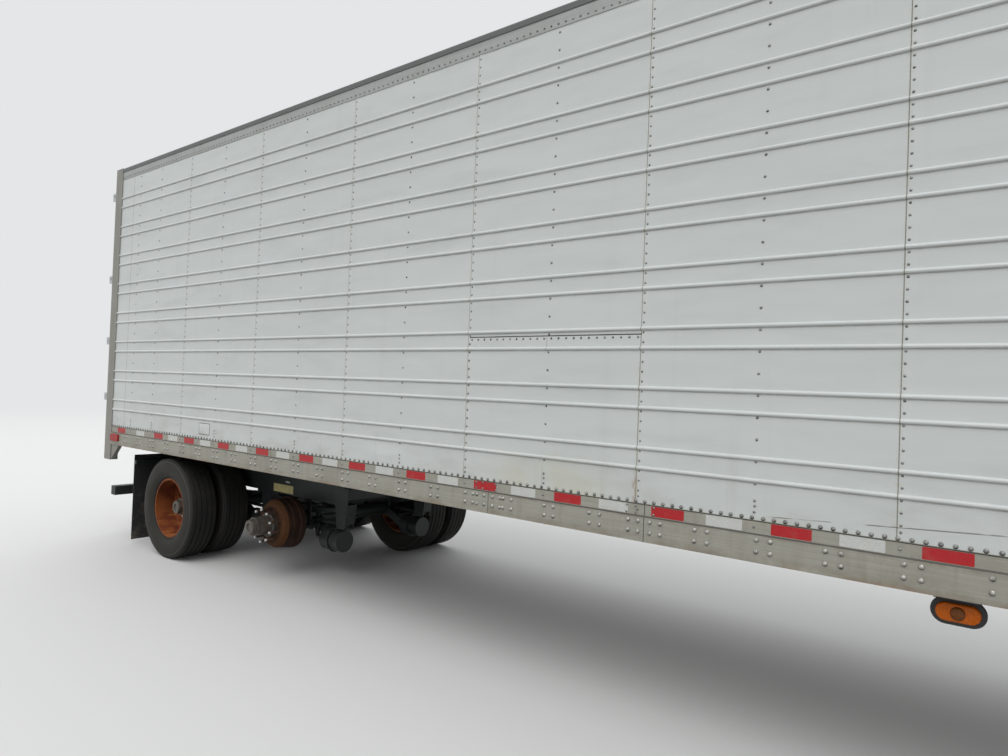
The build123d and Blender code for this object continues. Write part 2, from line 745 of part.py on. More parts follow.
def make_coupler():
    """The upper coupler plate on its ribs under the floor."""
    front = FRONT_X - FRONT_WALL
    rib = (COUPLER_BOTTOM + COUPLER_PLATE, FLOOR_LOW)
    with BuildPart() as coupler:
        plate = (COUPLER_BOTTOM, COUPLER_BOTTOM + COUPLER_PLATE)
        box((COUPLER_REAR, front), (-INNER, INNER), plate)
        with Locations((FRONT_X - KINGPIN_SETBACK, 0, COUPLER_BOTTOM)):
            Cylinder(KINGPIN_SHOULDER + SEAT_GAP, 3 * COUPLER_PLATE, mode=Mode.SUBTRACT)
        for y in COUPLER_RIB_PLACES:
            box((COUPLER_REAR, front), (y - COUPLER_RIB / 2, y + COUPLER_RIB / 2), rib)
        for x in (COUPLER_REAR, front - COUPLER_RIB):
            box((x, x + COUPLER_RIB), (-INNER, INNER), rib)
    write(coupler, "coupler_plate")


def make_kingpin():
    """The 2 inch kingpin: shoulder through the plate, neck and lower collar."""
    x = FRONT_X - KINGPIN_SETBACK
    shoulder = (KINGPIN_SHOULDER, KINGPIN_SHOULDER_LENGTH + COUPLER_PLATE)
    with BuildPart() as pin:
        top = COUPLER_BOTTOM + COUPLER_PLATE
        for radius, length in (shoulder, KINGPIN_NECK, KINGPIN_COLLAR):
            with Locations((x, 0, top - length / 2)):
                Cylinder(radius, length)
            top -= length
    write(pin, "kingpin")


def make_gladhands():
    """The two air couplings and the electric socket on the bulkhead."""
    half = GLADHAND_PLATE / 2
    z = RAIL_BOTTOM + GLADHAND_HEIGHT
    plate = FRONT_X + GLADHAND_PLATE_THICKNESS
    with BuildPart() as fittings:
        for place, (radius, length) in ((-1, GLADHAND_SIZE), (0, SOCKET_SIZE), (1, GLADHAND_SIZE)):
            y = place * GLADHAND_PLACE
            box((FRONT_X, plate), (y - half, y + half), (z - half, z + half))
            with Locations(Plane(origin=(plate + length / 2, y, z), z_dir=(1, 0, 0))):
                Cylinder(radius, length)
    write(fittings, "gladhands")


def make_slide_rails():
    """The two fixed channels that the tandem slides along, with their rows of lock pin holes."""
    outer = SLIDE_RAIL_PLACE + SLIDE_RAIL_WIDTH / 2
    inner = SLIDE_RAIL_PLACE - SLIDE_RAIL_WIDTH / 2
    with BuildPart() as rails:
        for side in SIDES.values():
            outline = (
                (inner, SLIDE_RAIL_BOTTOM),
                (outer, SLIDE_RAIL_BOTTOM),
                (outer, SLIDE_RAIL_BOTTOM + SLIDE_FLANGE),
                (inner + SLIDER_WEB, SLIDE_RAIL_BOTTOM + SLIDE_FLANGE),
                (inner + SLIDER_WEB, CROSSMEMBER_LOW - SLIDE_FLANGE),
                (outer, CROSSMEMBER_LOW - SLIDE_FLANGE),
                (outer, CROSSMEMBER_LOW),
                (inner, CROSSMEMBER_LOW),
            )
            with BuildSketch(cross_section(WALL_REAR)):
                with BuildLine():
                    Polyline(*[(side * y, z) for y, z in outline], close=True)
                make_face()
            extrude(amount=SLIDE_RAIL_LENGTH)
            web = Plane(
                origin=(
                    WALL_REAR + LOCK_HOLE_REAR,
                    side * (inner + SLIDER_WEB / 2),
                    (SLIDE_RAIL_BOTTOM + CROSSMEMBER_LOW) / 2,
                ),
                x_dir=(1, 0, 0),
                z_dir=(0, 1, 0),
            )
            with Locations(web):
                with GridLocations(LOCK_HOLE_PITCH, 1, LOCK_HOLES, 1, align=(Align.MIN, Align.CENTER)):
                    Cylinder(LOCK_HOLE_RADIUS, 2 * SLIDER_WEB, mode=Mode.SUBTRACT)
    write(rails, "slide_rails")


def make_slider_frame():
    """The tandem's frame: two channels, crossbars, spring hangers, clips and flap arms."""
    outer = SLIDE_RAIL_PLACE + SLIDE_RAIL_WIDTH / 2
    inner = SLIDE_RAIL_PLACE - SLIDE_RAIL_WIDTH / 2
    rear = FLAP_X - FLAP_ARM / 2
    front = FRONT_HANGER + HANGER_TOP_WIDTH / 2
    pad_top = SLIDE_RAIL_BOTTOM - SEAT_GAP
    clip_low = SLIDE_RAIL_BOTTOM + SLIDE_FLANGE + 5
    clip_high = clip_low + 10
    pocket = (inner + HANGER_PLATE, outer - HANGER_PLATE)
    with BuildPart() as frame:
        for side in SIDES.values():
            outline = (
                (inner, SLIDER_BOTTOM),
                (outer, SLIDER_BOTTOM),
                (outer, SLIDER_TOP),
                (inner, SLIDER_TOP),
                (inner, SLIDER_TOP - SLIDE_FLANGE),
                (outer - SLIDER_WEB, SLIDER_TOP - SLIDE_FLANGE),
                (outer - SLIDER_WEB, SLIDER_BOTTOM + SLIDE_FLANGE),
                (inner, SLIDER_BOTTOM + SLIDE_FLANGE),
            )
            with BuildSketch(cross_section(rear)):
                with BuildLine():
                    Polyline(*[(side * y, z) for y, z in outline], close=True)
                make_face()
            extrude(amount=front - rear)
            clip = (
                (outer, SLIDER_TOP - 40),
                (outer + 15, SLIDER_TOP - 40),
                (outer + 15, clip_high),
                (inner + 30, clip_high),
                (inner + 30, clip_low),
                (outer + 5, clip_low),
                (outer + 5, SLIDER_TOP),
                (outer, SLIDER_TOP),
            )
            for x, closed in HANGER_ENDS.items():
                with BuildSketch(cross_section(x - SLIDER_CLIP / 2)):
                    with BuildLine():
                        Polyline(*[(side * y, z) for y, z in clip], close=True)
                    make_face()
                extrude(amount=SLIDER_CLIP)
                pad = (x - SLIDER_PAD / 2, x + SLIDER_PAD / 2)
                box(pad, (side * inner, side * outer), (SLIDER_TOP, pad_top))
                low = side * inner if side > 0 else side * outer
                with BuildSketch(side_section(low)):
                    with BuildLine():
                        Polyline(
                            (-x - HANGER_TOP_WIDTH / 2, SLIDER_BOTTOM),
                            (-x + HANGER_TOP_WIDTH / 2, SLIDER_BOTTOM),
                            (-x + HANGER_BOTTOM_WIDTH / 2, HANGER_BOTTOM),
                            (-x - HANGER_BOTTOM_WIDTH / 2, HANGER_BOTTOM),
                            close=True,
                        )
                    make_face()
                extrude(amount=SLIDE_RAIL_WIDTH)
                hollow_x = x - closed * 2 * HANGER_PLATE
                hollow_y = side * (pocket[0] + pocket[1]) / 2
                hollow_z = (HANGER_BOTTOM + SLIDER_BOTTOM) / 2
                hollow = (HANGER_TOP_WIDTH, pocket[1] - pocket[0], SLIDER_BOTTOM - HANGER_BOTTOM)
                with Locations((hollow_x, hollow_y, hollow_z)):
                    Box(*hollow, mode=Mode.SUBTRACT)
                if closed:
                    wall = x + closed * HANGER_BOTTOM_WIDTH / 2
                    spring_pad = (wall - closed * SPRING_PAD, wall)
                    sides = (side * pocket[0], side * pocket[1])
                    box(spring_pad, sides, (SPRING_END, SLIDER_BOTTOM))
                else:
                    pin_at = Plane(
                        origin=(x, side * SLIDE_RAIL_PLACE, EQUALIZER_PIN_Z), z_dir=(0, 1, 0)
                    )
                    with Locations(pin_at):
                        Cylinder(EQUALIZER_PIN, SLIDE_RAIL_WIDTH + 20)
            arm = (side * outer, side * FLAP_OUTER)
            box((FLAP_X - FLAP_ARM / 2, FLAP_X + FLAP_ARM / 2), arm, (SLIDER_TOP - FLAP_ARM, SLIDER_TOP))
        web = outer - SLIDER_WEB
        for x in (*HANGER_ENDS, rear + CROSSBAR_WIDTH / 2):
            box((x - CROSSBAR_WIDTH / 2, x + CROSSBAR_WIDTH / 2), (-web, web), CROSSBAR_HEIGHTS)
    write(frame, "slider_frame")


def make_leaf_springs():
    """Four arched leaf packs, each leaf a slice of a ring, longest on top."""
    with BuildPart() as springs:
        for x in AXLES.values():
            for side in SIDES.values():
                low = side * SLIDE_RAIL_PLACE - LEAF_WIDTH / 2
                with BuildSketch(side_section(low)):
                    for number, length in enumerate(LEAF_LENGTHS):
                        inside = LEAF_RADIUS + number * LEAF_THICKNESS
                        span = length / inside * DEGREES_PER_RADIAN
                        with BuildLine():
                            centre = (-x, SPRING_TOP + LEAF_RADIUS)
                            upper = CenterArc(centre, inside, -90 - span / 2, span)
                            lower = CenterArc(centre, inside + LEAF_THICKNESS, -90 - span / 2, span)
                            Line(upper @ 0, lower @ 0)
                            Line(upper @ 1, lower @ 1)
                        make_face()
                extrude(amount=LEAF_WIDTH)
    write(springs, "leaf_springs")


def make_equalizers():
    """The two rocking beams that share the load between the axles."""
    x = CENTRE_HANGER
    width = LEAF_WIDTH + 8
    top = SLIDER_BOTTOM - 2
    foot = EQUALIZER_PIN_Z - EQUALIZER_DEPTH
    pad = EQUALIZER_REACH - EQUALIZER_PAD
    with BuildPart() as beams:
        for side in SIDES.values():
            with BuildSketch(side_section(side * SLIDE_RAIL_PLACE - width / 2)):
                with BuildLine():
                    Polyline(
                        (-x - EQUALIZER_REACH, SPRING_END),
                        (-x - EQUALIZER_REACH, top),
                        (-x + EQUALIZER_REACH, top),
                        (-x + EQUALIZER_REACH, SPRING_END),
                        (-x + pad, SPRING_END),
                        (-x + EQUALIZER_FOOT, foot),
                        (-x - EQUALIZER_FOOT, foot),
                        (-x - pad, SPRING_END),
                        close=True,
                    )
                make_face()
                with Locations((-x, EQUALIZER_PIN_Z)):
                    Circle(EQUALIZER_PIN + SEAT_GAP, mode=Mode.SUBTRACT)
            extrude(amount=width)
    write(beams, "equalizers")


def make_spring_clamps():
    """The plates and round bars that clamp each spring to its axle."""
    length, width = CLAMP_PLATE
    seat = SPRING_TOP + (length / 2) ** 2 / (2 * LEAF_RADIUS) + SEAT_GAP
    under = AXLE_Z - AXLE_TUBE
    bolt = SPRING_TOP - under + 4 * CLAMP_THICKNESS
    with BuildPart() as clamps:
        for x in AXLES.values():
            for side in SIDES.values():
                y = side * SLIDE_RAIL_PLACE
                for low in (seat, under - CLAMP_THICKNESS):
                    with Locations((x, y, low + CLAMP_THICKNESS / 2)):
                        Box(length, width, CLAMP_THICKNESS)
                with Locations((x, y, (SPRING_TOP + under) / 2)):
                    with GridLocations(*CLAMP_BOLTS, 2, 2):
                        Cylinder(CLAMP_BOLT_RADIUS, bolt)
    write(clamps, "spring_clamps")


def make_radius_rods():
    """The rods that hold each axle fore and aft, with an eye in the hanger ahead."""
    reaches = {"front": HANGER_REACH, "rear": AXLE_SPACING / 2}
    z = AXLE_Z + ROD_RISE
    with BuildPart() as rods:
        for axle, x in AXLES.items():
            for side in SIDES.values():
                y = side * SLIDE_RAIL_PLACE
                start = x + AXLE_TUBE
                length = x + reaches[axle] - start
                with Locations(Plane(origin=(start + length / 2, y, z), z_dir=(1, 0, 0))):
                    Cylinder(ROD_THICKNESS, length)
                eye = Plane(origin=(x + reaches[axle], y, z), z_dir=(0, 1, 0))
                with Locations(eye):
                    Cylinder(ROD_EYE, SLIDE_RAIL_WIDTH - 2 * HANGER_PLATE - 2 * SEAT_GAP)
    write(rods, "radius_rods")


def make_axle(name, x):
    """An axle: beam tube, spindles, backing plates, spring seats and the brake cam gear."""
    cam = (-x - CAM_FORWARD, AXLE_Z - CAM_DROP)
    lever_foot = (-x - CAM_FORWARD, AXLE_Z - CHAMBER_DROP)
    across = Plane(origin=(x, 0, AXLE_Z), z_dir=(0, 1, 0))
    with BuildPart() as axle:
        with Locations(across):
            Cylinder(AXLE_TUBE, 2 * AXLE_TUBE_END)
            Cylinder(SPINDLE_RADIUS, 2 * (HUB_END - 50))
        for side in SIDES.values():
            with Locations(across.offset(side * (AXLE_TUBE_END + BACKING_THICKNESS / 2))):
                Cylinder(BACKING_RADIUS, BACKING_THICKNESS)
            y = side * SLIDE_RAIL_PLACE
            with Locations((x, y, (AXLE_Z + SPRING_SEAT) / 2)):
                Box(*AXLE_SEAT, SPRING_SEAT - AXLE_Z)
            shaft_y = side * (SLIDE_RAIL_PLACE - 15 + AXLE_TUBE_END) / 2
            shaft_length = AXLE_TUBE_END - SLIDE_RAIL_PLACE + 15
            shaft = Plane(origin=(x + CAM_FORWARD, shaft_y, AXLE_Z - CAM_DROP), z_dir=(0, 1, 0))
            with Locations(shaft):
                Cylinder(CAM_RADIUS, shaft_length)
            with BuildSketch(side_section(side * 570 - 5)):
                with BuildLine():
                    CenterArc((-x, AXLE_Z), AXLE_TUBE + 8, 0, 360)
                    CenterArc(cam, CAM_RADIUS + 12, 0, 360)
                make_hull()
            extrude(amount=10)
            with BuildSketch(side_section(y - 8)):
                with BuildLine():
                    CenterArc(cam, CAM_RADIUS + 12, 0, 360)
                    CenterArc(lever_foot, CAM_RADIUS, 0, 360)
                make_hull()
            extrude(amount=16)
            with BuildSketch(side_section(side * CHAMBER_BRACKET_PLACE - 5)):
                with BuildLine():
                    Polyline(
                        (-x - 40, AXLE_Z + 45),
                        (-x - CHAMBER_START, AXLE_Z - CHAMBER_DROP + 60),
                        (-x - CHAMBER_START, AXLE_Z - CHAMBER_DROP - 30),
                        (-x - 40, AXLE_Z - 50),
                        close=True,
                    )
                make_face()
            extrude(amount=10)
    write(axle, f"axle_{name}")


def make_brake_chambers():
    """The spring brake chambers ahead of each axle, with their push rods."""
    clamp_end = CHAMBER_SERVICE + CHAMBER_CLAMP
    sections = (
        (CHAMBER_RADIUS, 0, CHAMBER_SERVICE),
        (CHAMBER_RADIUS + 8, CHAMBER_SERVICE, clamp_end),
        (CHAMBER_RADIUS - 7, clamp_end, clamp_end + CHAMBER_SPRING),
    )
    with BuildPart() as chambers:
        for x in AXLES.values():
            for side in SIDES.values():
                y = side * SLIDE_RAIL_PLACE
                z = AXLE_Z - CHAMBER_DROP
                for radius, start, end in sections:
                    middle = x + CHAMBER_START + (start + end) / 2
                    with Locations(Plane(origin=(middle, y, z), z_dir=(1, 0, 0))):
                        Cylinder(radius, end - start)
                rod_start = x + CAM_FORWARD + CAM_RADIUS + 4
                rod_length = x + CHAMBER_START - rod_start
                with Locations(Plane(origin=(rod_start + rod_length / 2, y, z), z_dir=(1, 0, 0))):
                    Cylinder(PUSH_ROD, rod_length)
    write(chambers, "brake_chambers")


def make_air_tank():
    """The air tank across the tandem, held against the front crossbar."""
    x = FRONT_HANGER - CROSSBAR_WIDTH / 2 - AIR_TANK_RADIUS
    with BuildPart() as tank:
        with Locations(Plane(origin=(x, 0, AIR_TANK_Z), z_dir=(0, 1, 0))):
            Cylinder(AIR_TANK_RADIUS, AIR_TANK_LENGTH)
        fillet(tank.edges().filter_by(GeomType.CIRCLE), AIR_TANK_END)
    write(tank, "air_tank")


def make_mud_flaps():
    """The rubber flaps behind the rear wheels, hung on the tandem's arms."""
    back = FLAP_X - FLAP_ARM / 2
    with BuildPart() as flaps:
        for side in SIDES.values():
            width = (side * FLAP_INNER, side * FLAP_OUTER)
            box((back - FLAP_THICKNESS, back), width, (FLAP_BOTTOM, FLAP_TOP))
    write(flaps, "mud_flaps")


def wheel_plane(x):
    """A plane through an axle's centre line, sketched in (y, radius)."""
    return Plane(origin=(x, 0, AXLE_Z), x_dir=(0, 1, 0), z_dir=(1, 0, 0))


def make_drum(axle, x, name, side):
    """A brake drum: web on the hub's flange, ribbed wall and open inboard mouth."""
    web_outer = MOUNTING_FACE - DISC_THICKNESS
    web_inner = web_outer - DRUM_WEB
    outline = (
        (web_outer, HUB_PILOT + SEAT_GAP),
        (web_outer, DRUM_FACE),
        (web_outer - 17, DRUM_SHOULDER),
        (web_outer - 49, DRUM_RADIUS - 6),
        (DRUM_MOUTH + 120, DRUM_RADIUS - 6),
        (DRUM_MOUTH + 112, DRUM_RADIUS),
        (DRUM_MOUTH + 52, DRUM_RADIUS),
        (DRUM_MOUTH + 44, DRUM_RADIUS + DRUM_RIB),
        (DRUM_MOUTH, DRUM_RADIUS + DRUM_RIB),
        (DRUM_MOUTH, DRUM_RADIUS - DRUM_WALL),
        (web_outer - 61, DRUM_RADIUS - DRUM_WALL),
        (web_outer - 29, DRUM_SHOULDER - 9),
        (web_inner, HUB_FLANGE),
        (web_inner, HUB_PILOT + SEAT_GAP),
    )
    with BuildPart() as drum:
        with BuildSketch(wheel_plane(x)):
            with BuildLine():
                Polyline(*[(side * y, r) for y, r in outline], close=True)
            make_face()
        revolve(axis=Axis((x, 0, AXLE_Z), (0, 1, 0)))
        flange = Plane(origin=(x, side * (web_inner + web_outer) / 2, AXLE_Z), z_dir=(0, 1, 0))
        with Locations(flange):
            with PolarLocations(STUD_CIRCLE, STUD_COUNT, start_angle=WHEEL_TURNS[name]):
                Cylinder(STUD_HOLE, 3 * DRUM_WEB, mode=Mode.SUBTRACT)
    write(drum, f"drum_{axle}_{name}")


def make_hub(axle, x, name, side, has_wheels):
    """A hub with its stud circle and cap, and with nuts where it carries wheels."""
    flange_outer = MOUNTING_FACE - DISC_THICKNESS - DRUM_WEB
    outline = (
        (DRUM_MOUTH + 30, SPINDLE_RADIUS + SPINDLE_GAP),
        (DRUM_MOUTH + 30, HUB_BARREL + 4),
        (flange_outer - 2 * HUB_FLANGE_THICKNESS, HUB_BARREL + 18),
        (flange_outer - HUB_FLANGE_THICKNESS, HUB_FLANGE),
        (flange_outer, HUB_FLANGE),
        (flange_outer, HUB_PILOT),
        (MOUNTING_FACE + 26, HUB_PILOT),
        (MOUNTING_FACE + 32, HUB_BARREL + 14),
        (HUB_END - 58, HUB_BARREL),
        (HUB_END - 58, HUB_RING),
        (HUB_END - 46, HUB_RING),
        (HUB_END - 46, HUB_RING - 14),
        (HUB_END, HUB_CAP),
        (HUB_END, HUB_CAP - 26),
        (HUB_END - 10, HUB_CAP - 28),
        (HUB_END - 10, 0),
        (HUB_END - 48, 0),
        (HUB_END - 48, SPINDLE_RADIUS + SPINDLE_GAP),
    )
    tip = MOUNTING_FACE + STUD_REACH
    start = flange_outer - HUB_FLANGE_THICKNESS
    with BuildPart() as hub:
        with BuildSketch(wheel_plane(x)):
            with BuildLine():
                Polyline(*[(side * y, r) for y, r in outline], close=True)
            make_face()
        revolve(axis=Axis((x, 0, AXLE_Z), (0, 1, 0)))
        studs = Plane(origin=(x, side * (start + tip) / 2, AXLE_Z), z_dir=(0, 1, 0))
        with Locations(studs):
            with PolarLocations(STUD_CIRCLE, STUD_COUNT, start_angle=WHEEL_TURNS[name]):
                Cylinder(STUD_RADIUS, tip - start)
        if has_wheels:
            seat = side * (MOUNTING_FACE + DISC_THICKNESS)
            with BuildSketch(Plane(origin=(x, seat, AXLE_Z), z_dir=(0, 1, 0))):
                with PolarLocations(STUD_CIRCLE, STUD_COUNT, start_angle=WHEEL_TURNS[name]):
                    RegularPolygon(NUT_RADIUS, 6)
            extrude(amount=side * NUT_HEIGHT)
    write(hub, f"hub_{axle}_{name}")


def make_rims(axle, x, name, side):
    """A pair of disc wheels clamped face to face, with hand holes and bolt holes."""
    bead = RIM_RADIUS
    half = RIM_WIDTH / 2
    with BuildPart() as rims:
        for facing in (1, -1):
            centre = MOUNTING_FACE + facing * DUAL_OFFSET
            profile = (
                (MOUNTING_FACE, HUB_PILOT + SEAT_GAP),
                (MOUNTING_FACE, 190),
                (MOUNTING_FACE + facing * 40, 245),
                (MOUNTING_FACE + facing * 60, bead - 10),
                (centre - facing * half, bead - 10),
                (centre - facing * half, bead + RIM_LIP),
                (centre - facing * (half - 8), bead + RIM_LIP),
                (centre - facing * (half - 8), bead - SEAT_GAP),
                (centre + facing * (half - 8), bead - SEAT_GAP),
                (centre + facing * (half - 8), bead + RIM_LIP),
                (centre + facing * half, bead + RIM_LIP),
                (centre + facing * half, bead - 10),
                (MOUNTING_FACE + facing * 88, bead - 10),
                (MOUNTING_FACE + facing * 52, 243),
                (MOUNTING_FACE + facing * DISC_THICKNESS, 186),
                (MOUNTING_FACE + facing * DISC_THICKNESS, HUB_PILOT + SEAT_GAP),
            )
            with BuildSketch(wheel_plane(x)):
                with BuildLine():
                    Polyline(*[(side * y, r) for y, r in profile], close=True)
                make_face()
            revolve(axis=Axis((x, 0, AXLE_Z), (0, 1, 0)))
        middle = Plane(origin=(x, side * MOUNTING_FACE, AXLE_Z), z_dir=(0, 1, 0))
        with Locations(middle):
            with PolarLocations(STUD_CIRCLE, STUD_COUNT, start_angle=WHEEL_TURNS[name]):
                Cylinder(STUD_HOLE, 4 * DISC_THICKNESS, mode=Mode.SUBTRACT)
            with PolarLocations(HAND_HOLE_CIRCLE, HAND_HOLES, start_angle=WHEEL_TURNS[name]):
                Cylinder(HAND_HOLE_RADIUS, RIM_WIDTH, mode=Mode.SUBTRACT)
    write(rims, f"rims_{axle}_{name}")


def make_tyres(axle, x, name, side):
    """A pair of tyres: flat tread, rounded shoulders and bulged sidewalls."""
    half = TYRE_SECTION / 2
    tread = TREAD_WIDTH / 2
    seat = RIM_WIDTH / 2 - 8 - SEAT_GAP
    with BuildPart() as tyres:
        for facing in (1, -1):
            centre = side * (MOUNTING_FACE + facing * DUAL_OFFSET)
            with BuildSketch(wheel_plane(x)):
                with BuildLine():
                    Line((centre - tread, TYRE_RADIUS), (centre + tread, TYRE_RADIUS))
                    for edge in (-1, 1):
                        shoulder = (centre + edge * (half - 10), TYRE_RADIUS - 32)
                        Line((centre + edge * tread, TYRE_RADIUS), shoulder)
                        ThreePointArc(
                            shoulder,
                            (centre + edge * half, TYRE_RADIUS - 95),
                            (centre + edge * seat, RIM_RADIUS + RIM_LIP + 6),
                        )
                        Line(
                            (centre + edge * seat, RIM_RADIUS + RIM_LIP + 6),
                            (centre + edge * seat, RIM_RADIUS),
                        )
                    Line((centre - seat, RIM_RADIUS), (centre + seat, RIM_RADIUS))
                make_face()
            revolve(axis=Axis((x, 0, AXLE_Z), (0, 1, 0)))
    write(tyres, f"tyres_{axle}_{name}")


def make_landing_legs():
    """The outer tubes of the landing legs with their mounting wings and gear case."""
    half = LEG_OUTER / 2
    top = CROSSMEMBER_LOW
    wing_length, wing_height = LEG_WING_SIZE
    case_height = GEAR_CASE_HEIGHTS[1] - GEAR_CASE_HEIGHTS[0]
    with BuildPart() as legs:
        for side in SIDES.values():
            y = side * LEG_PLACE
            box((LEG_X - half, LEG_X + half), (y - half, y + half), (LEG_OUTER_BOTTOM, top))
            hollow = LEG_OUTER - 2 * LEG_WALL
            with Locations((LEG_X, y, (LEG_OUTER_BOTTOM + LEG_INNER_TOP) / 2)):
                Box(hollow, hollow, LEG_INNER_TOP - LEG_OUTER_BOTTOM, mode=Mode.SUBTRACT)
            wing = (y - side * half, y - side * (half + LEG_WING))
            box((LEG_X - wing_length / 2, LEG_X + wing_length / 2), wing, (top - wing_height, top))
            outside = y + half if side > 0 else y - half - GEAR_CASE_DEPTH
            with BuildSketch(side_section(outside)):
                with Locations((-LEG_X, sum(GEAR_CASE_HEIGHTS) / 2)):
                    RectangleRounded(GEAR_CASE_WIDTH, case_height, GEAR_CASE_CORNER)
            extrude(amount=GEAR_CASE_DEPTH)
    write(legs, "landing_legs")


def make_landing_feet():
    """The inner legs and their sand shoes, standing on the ground."""
    half = LEG_INNER / 2
    rear = -LEG_X - SHOE / 2
    nose = -LEG_X + SHOE / 2
    with BuildPart() as feet:
        for side in SIDES.values():
            y = side * LEG_PLACE
            box((LEG_X - half, LEG_X + half), (y - half, y + half), (SHOE_NECK, LEG_INNER_TOP))
            with Locations((LEG_X, y, (SHOE_THICKNESS + SHOE_NECK) / 2)):
                Box(*SHOE_NECK_SIZE, SHOE_NECK - SHOE_THICKNESS)
            with BuildSketch(side_section(y - SHOE / 2)):
                with BuildLine():
                    Polyline(
                        (rear, SHOE_LIP_FOOT),
                        (rear + 22, 0),
                        (nose - 22, 0),
                        (nose, SHOE_LIP_FOOT),
                        (nose - 10, SHOE_LIP),
                        (nose - 30, SHOE_THICKNESS),
                        (rear + 30, SHOE_THICKNESS),
                        (rear + 10, SHOE_LIP),
                        close=True,
                    )
                make_face()
            extrude(amount=SHOE)
    write(feet, "landing_feet")


def make_landing_braces():
    """The cross bar, cross shaft and struts that brace the landing legs to the floor."""
    half = LEG_OUTER / 2
    inside = LEG_PLACE - half
    foot = BRACE_BAR_HEIGHTS[1]
    with BuildPart() as braces:
        box((LEG_X - BRACE_WIDTH / 2, LEG_X + BRACE_WIDTH / 2), (-inside, inside), BRACE_BAR_HEIGHTS)
        for side in SIDES.values():
            with BuildSketch(cross_section(LEG_X - BRACE_WIDTH / 2)):
                with BuildLine():
                    Polyline(
                        (side * inside, foot),
                        (side * (inside - BRACE_STRUT), foot),
                        (0, CROSSMEMBER_LOW - BRACE_STRUT + 12),
                        (0, CROSSMEMBER_LOW),
                        (side * (BRACE_STRUT - 10), CROSSMEMBER_LOW),
                        close=True,
                    )
                make_face()
            extrude(amount=BRACE_WIDTH)
    write(braces, "landing_braces")


def make_landing_crank():
    """The cross shaft between the leg gears and the crank handle on the left side."""
    inside = LEG_PLACE - LEG_OUTER / 2
    outside = LEG_PLACE + LEG_OUTER / 2 + GEAR_CASE_DEPTH
    arm_y = HALF_WIDTH - CRANK_INSET
    shaft_ahead, shaft_z = CRANK_SHAFT
    arm = 2 * (CRANK_RADIUS + 1)
    grip_z = CRANK_ARM_LOW + arm / 2
    with BuildPart() as crank:
        with Locations(Plane(origin=(LEG_X + shaft_ahead, 0, shaft_z), z_dir=(0, 1, 0))):
            Cylinder(CRANK_SHAFT_RADIUS, 2 * (inside - LEG_WING))
        with Locations(Plane(origin=(LEG_X, (outside + arm_y) / 2, CRANK_HEIGHT), z_dir=(0, 1, 0))):
            Cylinder(CRANK_RADIUS, arm_y - outside)
        with BuildSketch(side_section(arm_y - CRANK_RADIUS)):
            with Locations((-LEG_X, (grip_z + CRANK_HEIGHT) / 2)):
                SlotCenterToCenter(CRANK_HEIGHT - grip_z, arm, rotation=90)
        extrude(amount=CRANK_RADIUS)
        with Locations(Plane(origin=(LEG_X, arm_y - CRANK_GRIP / 2, grip_z), z_dir=(0, 1, 0))):
            Cylinder(CRANK_RADIUS, CRANK_GRIP)
    write(crank, "landing_crank")


def make_fuel_tank():
    """The unit's fuel tank slung under the floor by two straps, with its filler outboard."""
    x = FRONT_X - TANK_SETBACK
    y = -TANK_PLACE
    z = RAIL_BOTTOM - TANK_DROP - TANK_RADIUS
    hanger_foot = TANK_RADIUS - 80
    with BuildPart() as tank:
        with Locations(Plane(origin=(x, y, z), z_dir=(1, 0, 0))):
            Cylinder(TANK_RADIUS, TANK_LENGTH)
        fillet(tank.edges().filter_by(GeomType.CIRCLE), TANK_END)
        for strap in (-TANK_LENGTH / 4, TANK_LENGTH / 4):
            with Locations(Plane(origin=(x + strap, y, z), z_dir=(1, 0, 0))):
                Cylinder(TANK_RADIUS + TANK_STRAP_THICKNESS, TANK_STRAP)
            with Locations((x + strap, y, (z + hanger_foot + CROSSMEMBER_LOW) / 2)):
                Box(TANK_STRAP, TANK_HANGER_WIDTH, CROSSMEMBER_LOW - z - hanger_foot)
        outboard = Plane(origin=(x - FILLER_PLACE, y, z), z_dir=(0, -1, 1))
        with Locations(outboard.offset(TANK_RADIUS)):
            Cylinder(FILLER_RADIUS, 2 * FILLER_REACH)
    write(tank, "fuel_tank")


def make_rear_lamps():
    """The red lamps: tail and stop lamps, header lamps and rear side markers."""
    with BuildPart() as lamps:
        for side in SIDES.values():
            for y in TAIL_LAMP_PLACES:
                face = Plane(origin=(REAR_X, side * y, TAIL_LAMP_HEIGHT), z_dir=(-1, 0, 0))
                with BuildSketch(face):
                    Circle(TAIL_LAMP_RADIUS)
                extrude(amount=LAMP_PROUD)
            corner = (REAR_X, side * CORNER_LAMP_PLACE, TOP - TOP_LAMP_DROP)
            with BuildSketch(Plane(origin=corner, x_dir=(0, 1, 0), z_dir=(-1, 0, 0))):
                SlotOverall(*CORNER_LAMP_SIZE)
            extrude(amount=LAMP_PROUD)
            marker = Plane(
                origin=(REAR_X + SIDE_LAMP_SETBACK, side * HALF_WIDTH, RAIL_BOTTOM + SIDE_LAMP_HEIGHT),
                x_dir=(1, 0, 0),
                z_dir=(0, side, 0),
            )
            with BuildSketch(marker):
                RectangleRounded(*SIDE_LAMP_SIZE, MARKER_CORNER)
            extrude(amount=LAMP_PROUD)
        for y in HEADER_LAMP_PLACES:
            header = (REAR_X, y, TOP - TOP_LAMP_DROP)
            with BuildSketch(Plane(origin=header, x_dir=(0, 1, 0), z_dir=(-1, 0, 0))):
                SlotOverall(*HEADER_LAMP_SIZE)
            extrude(amount=LAMP_PROUD)
    write(lamps, "red_lamps")


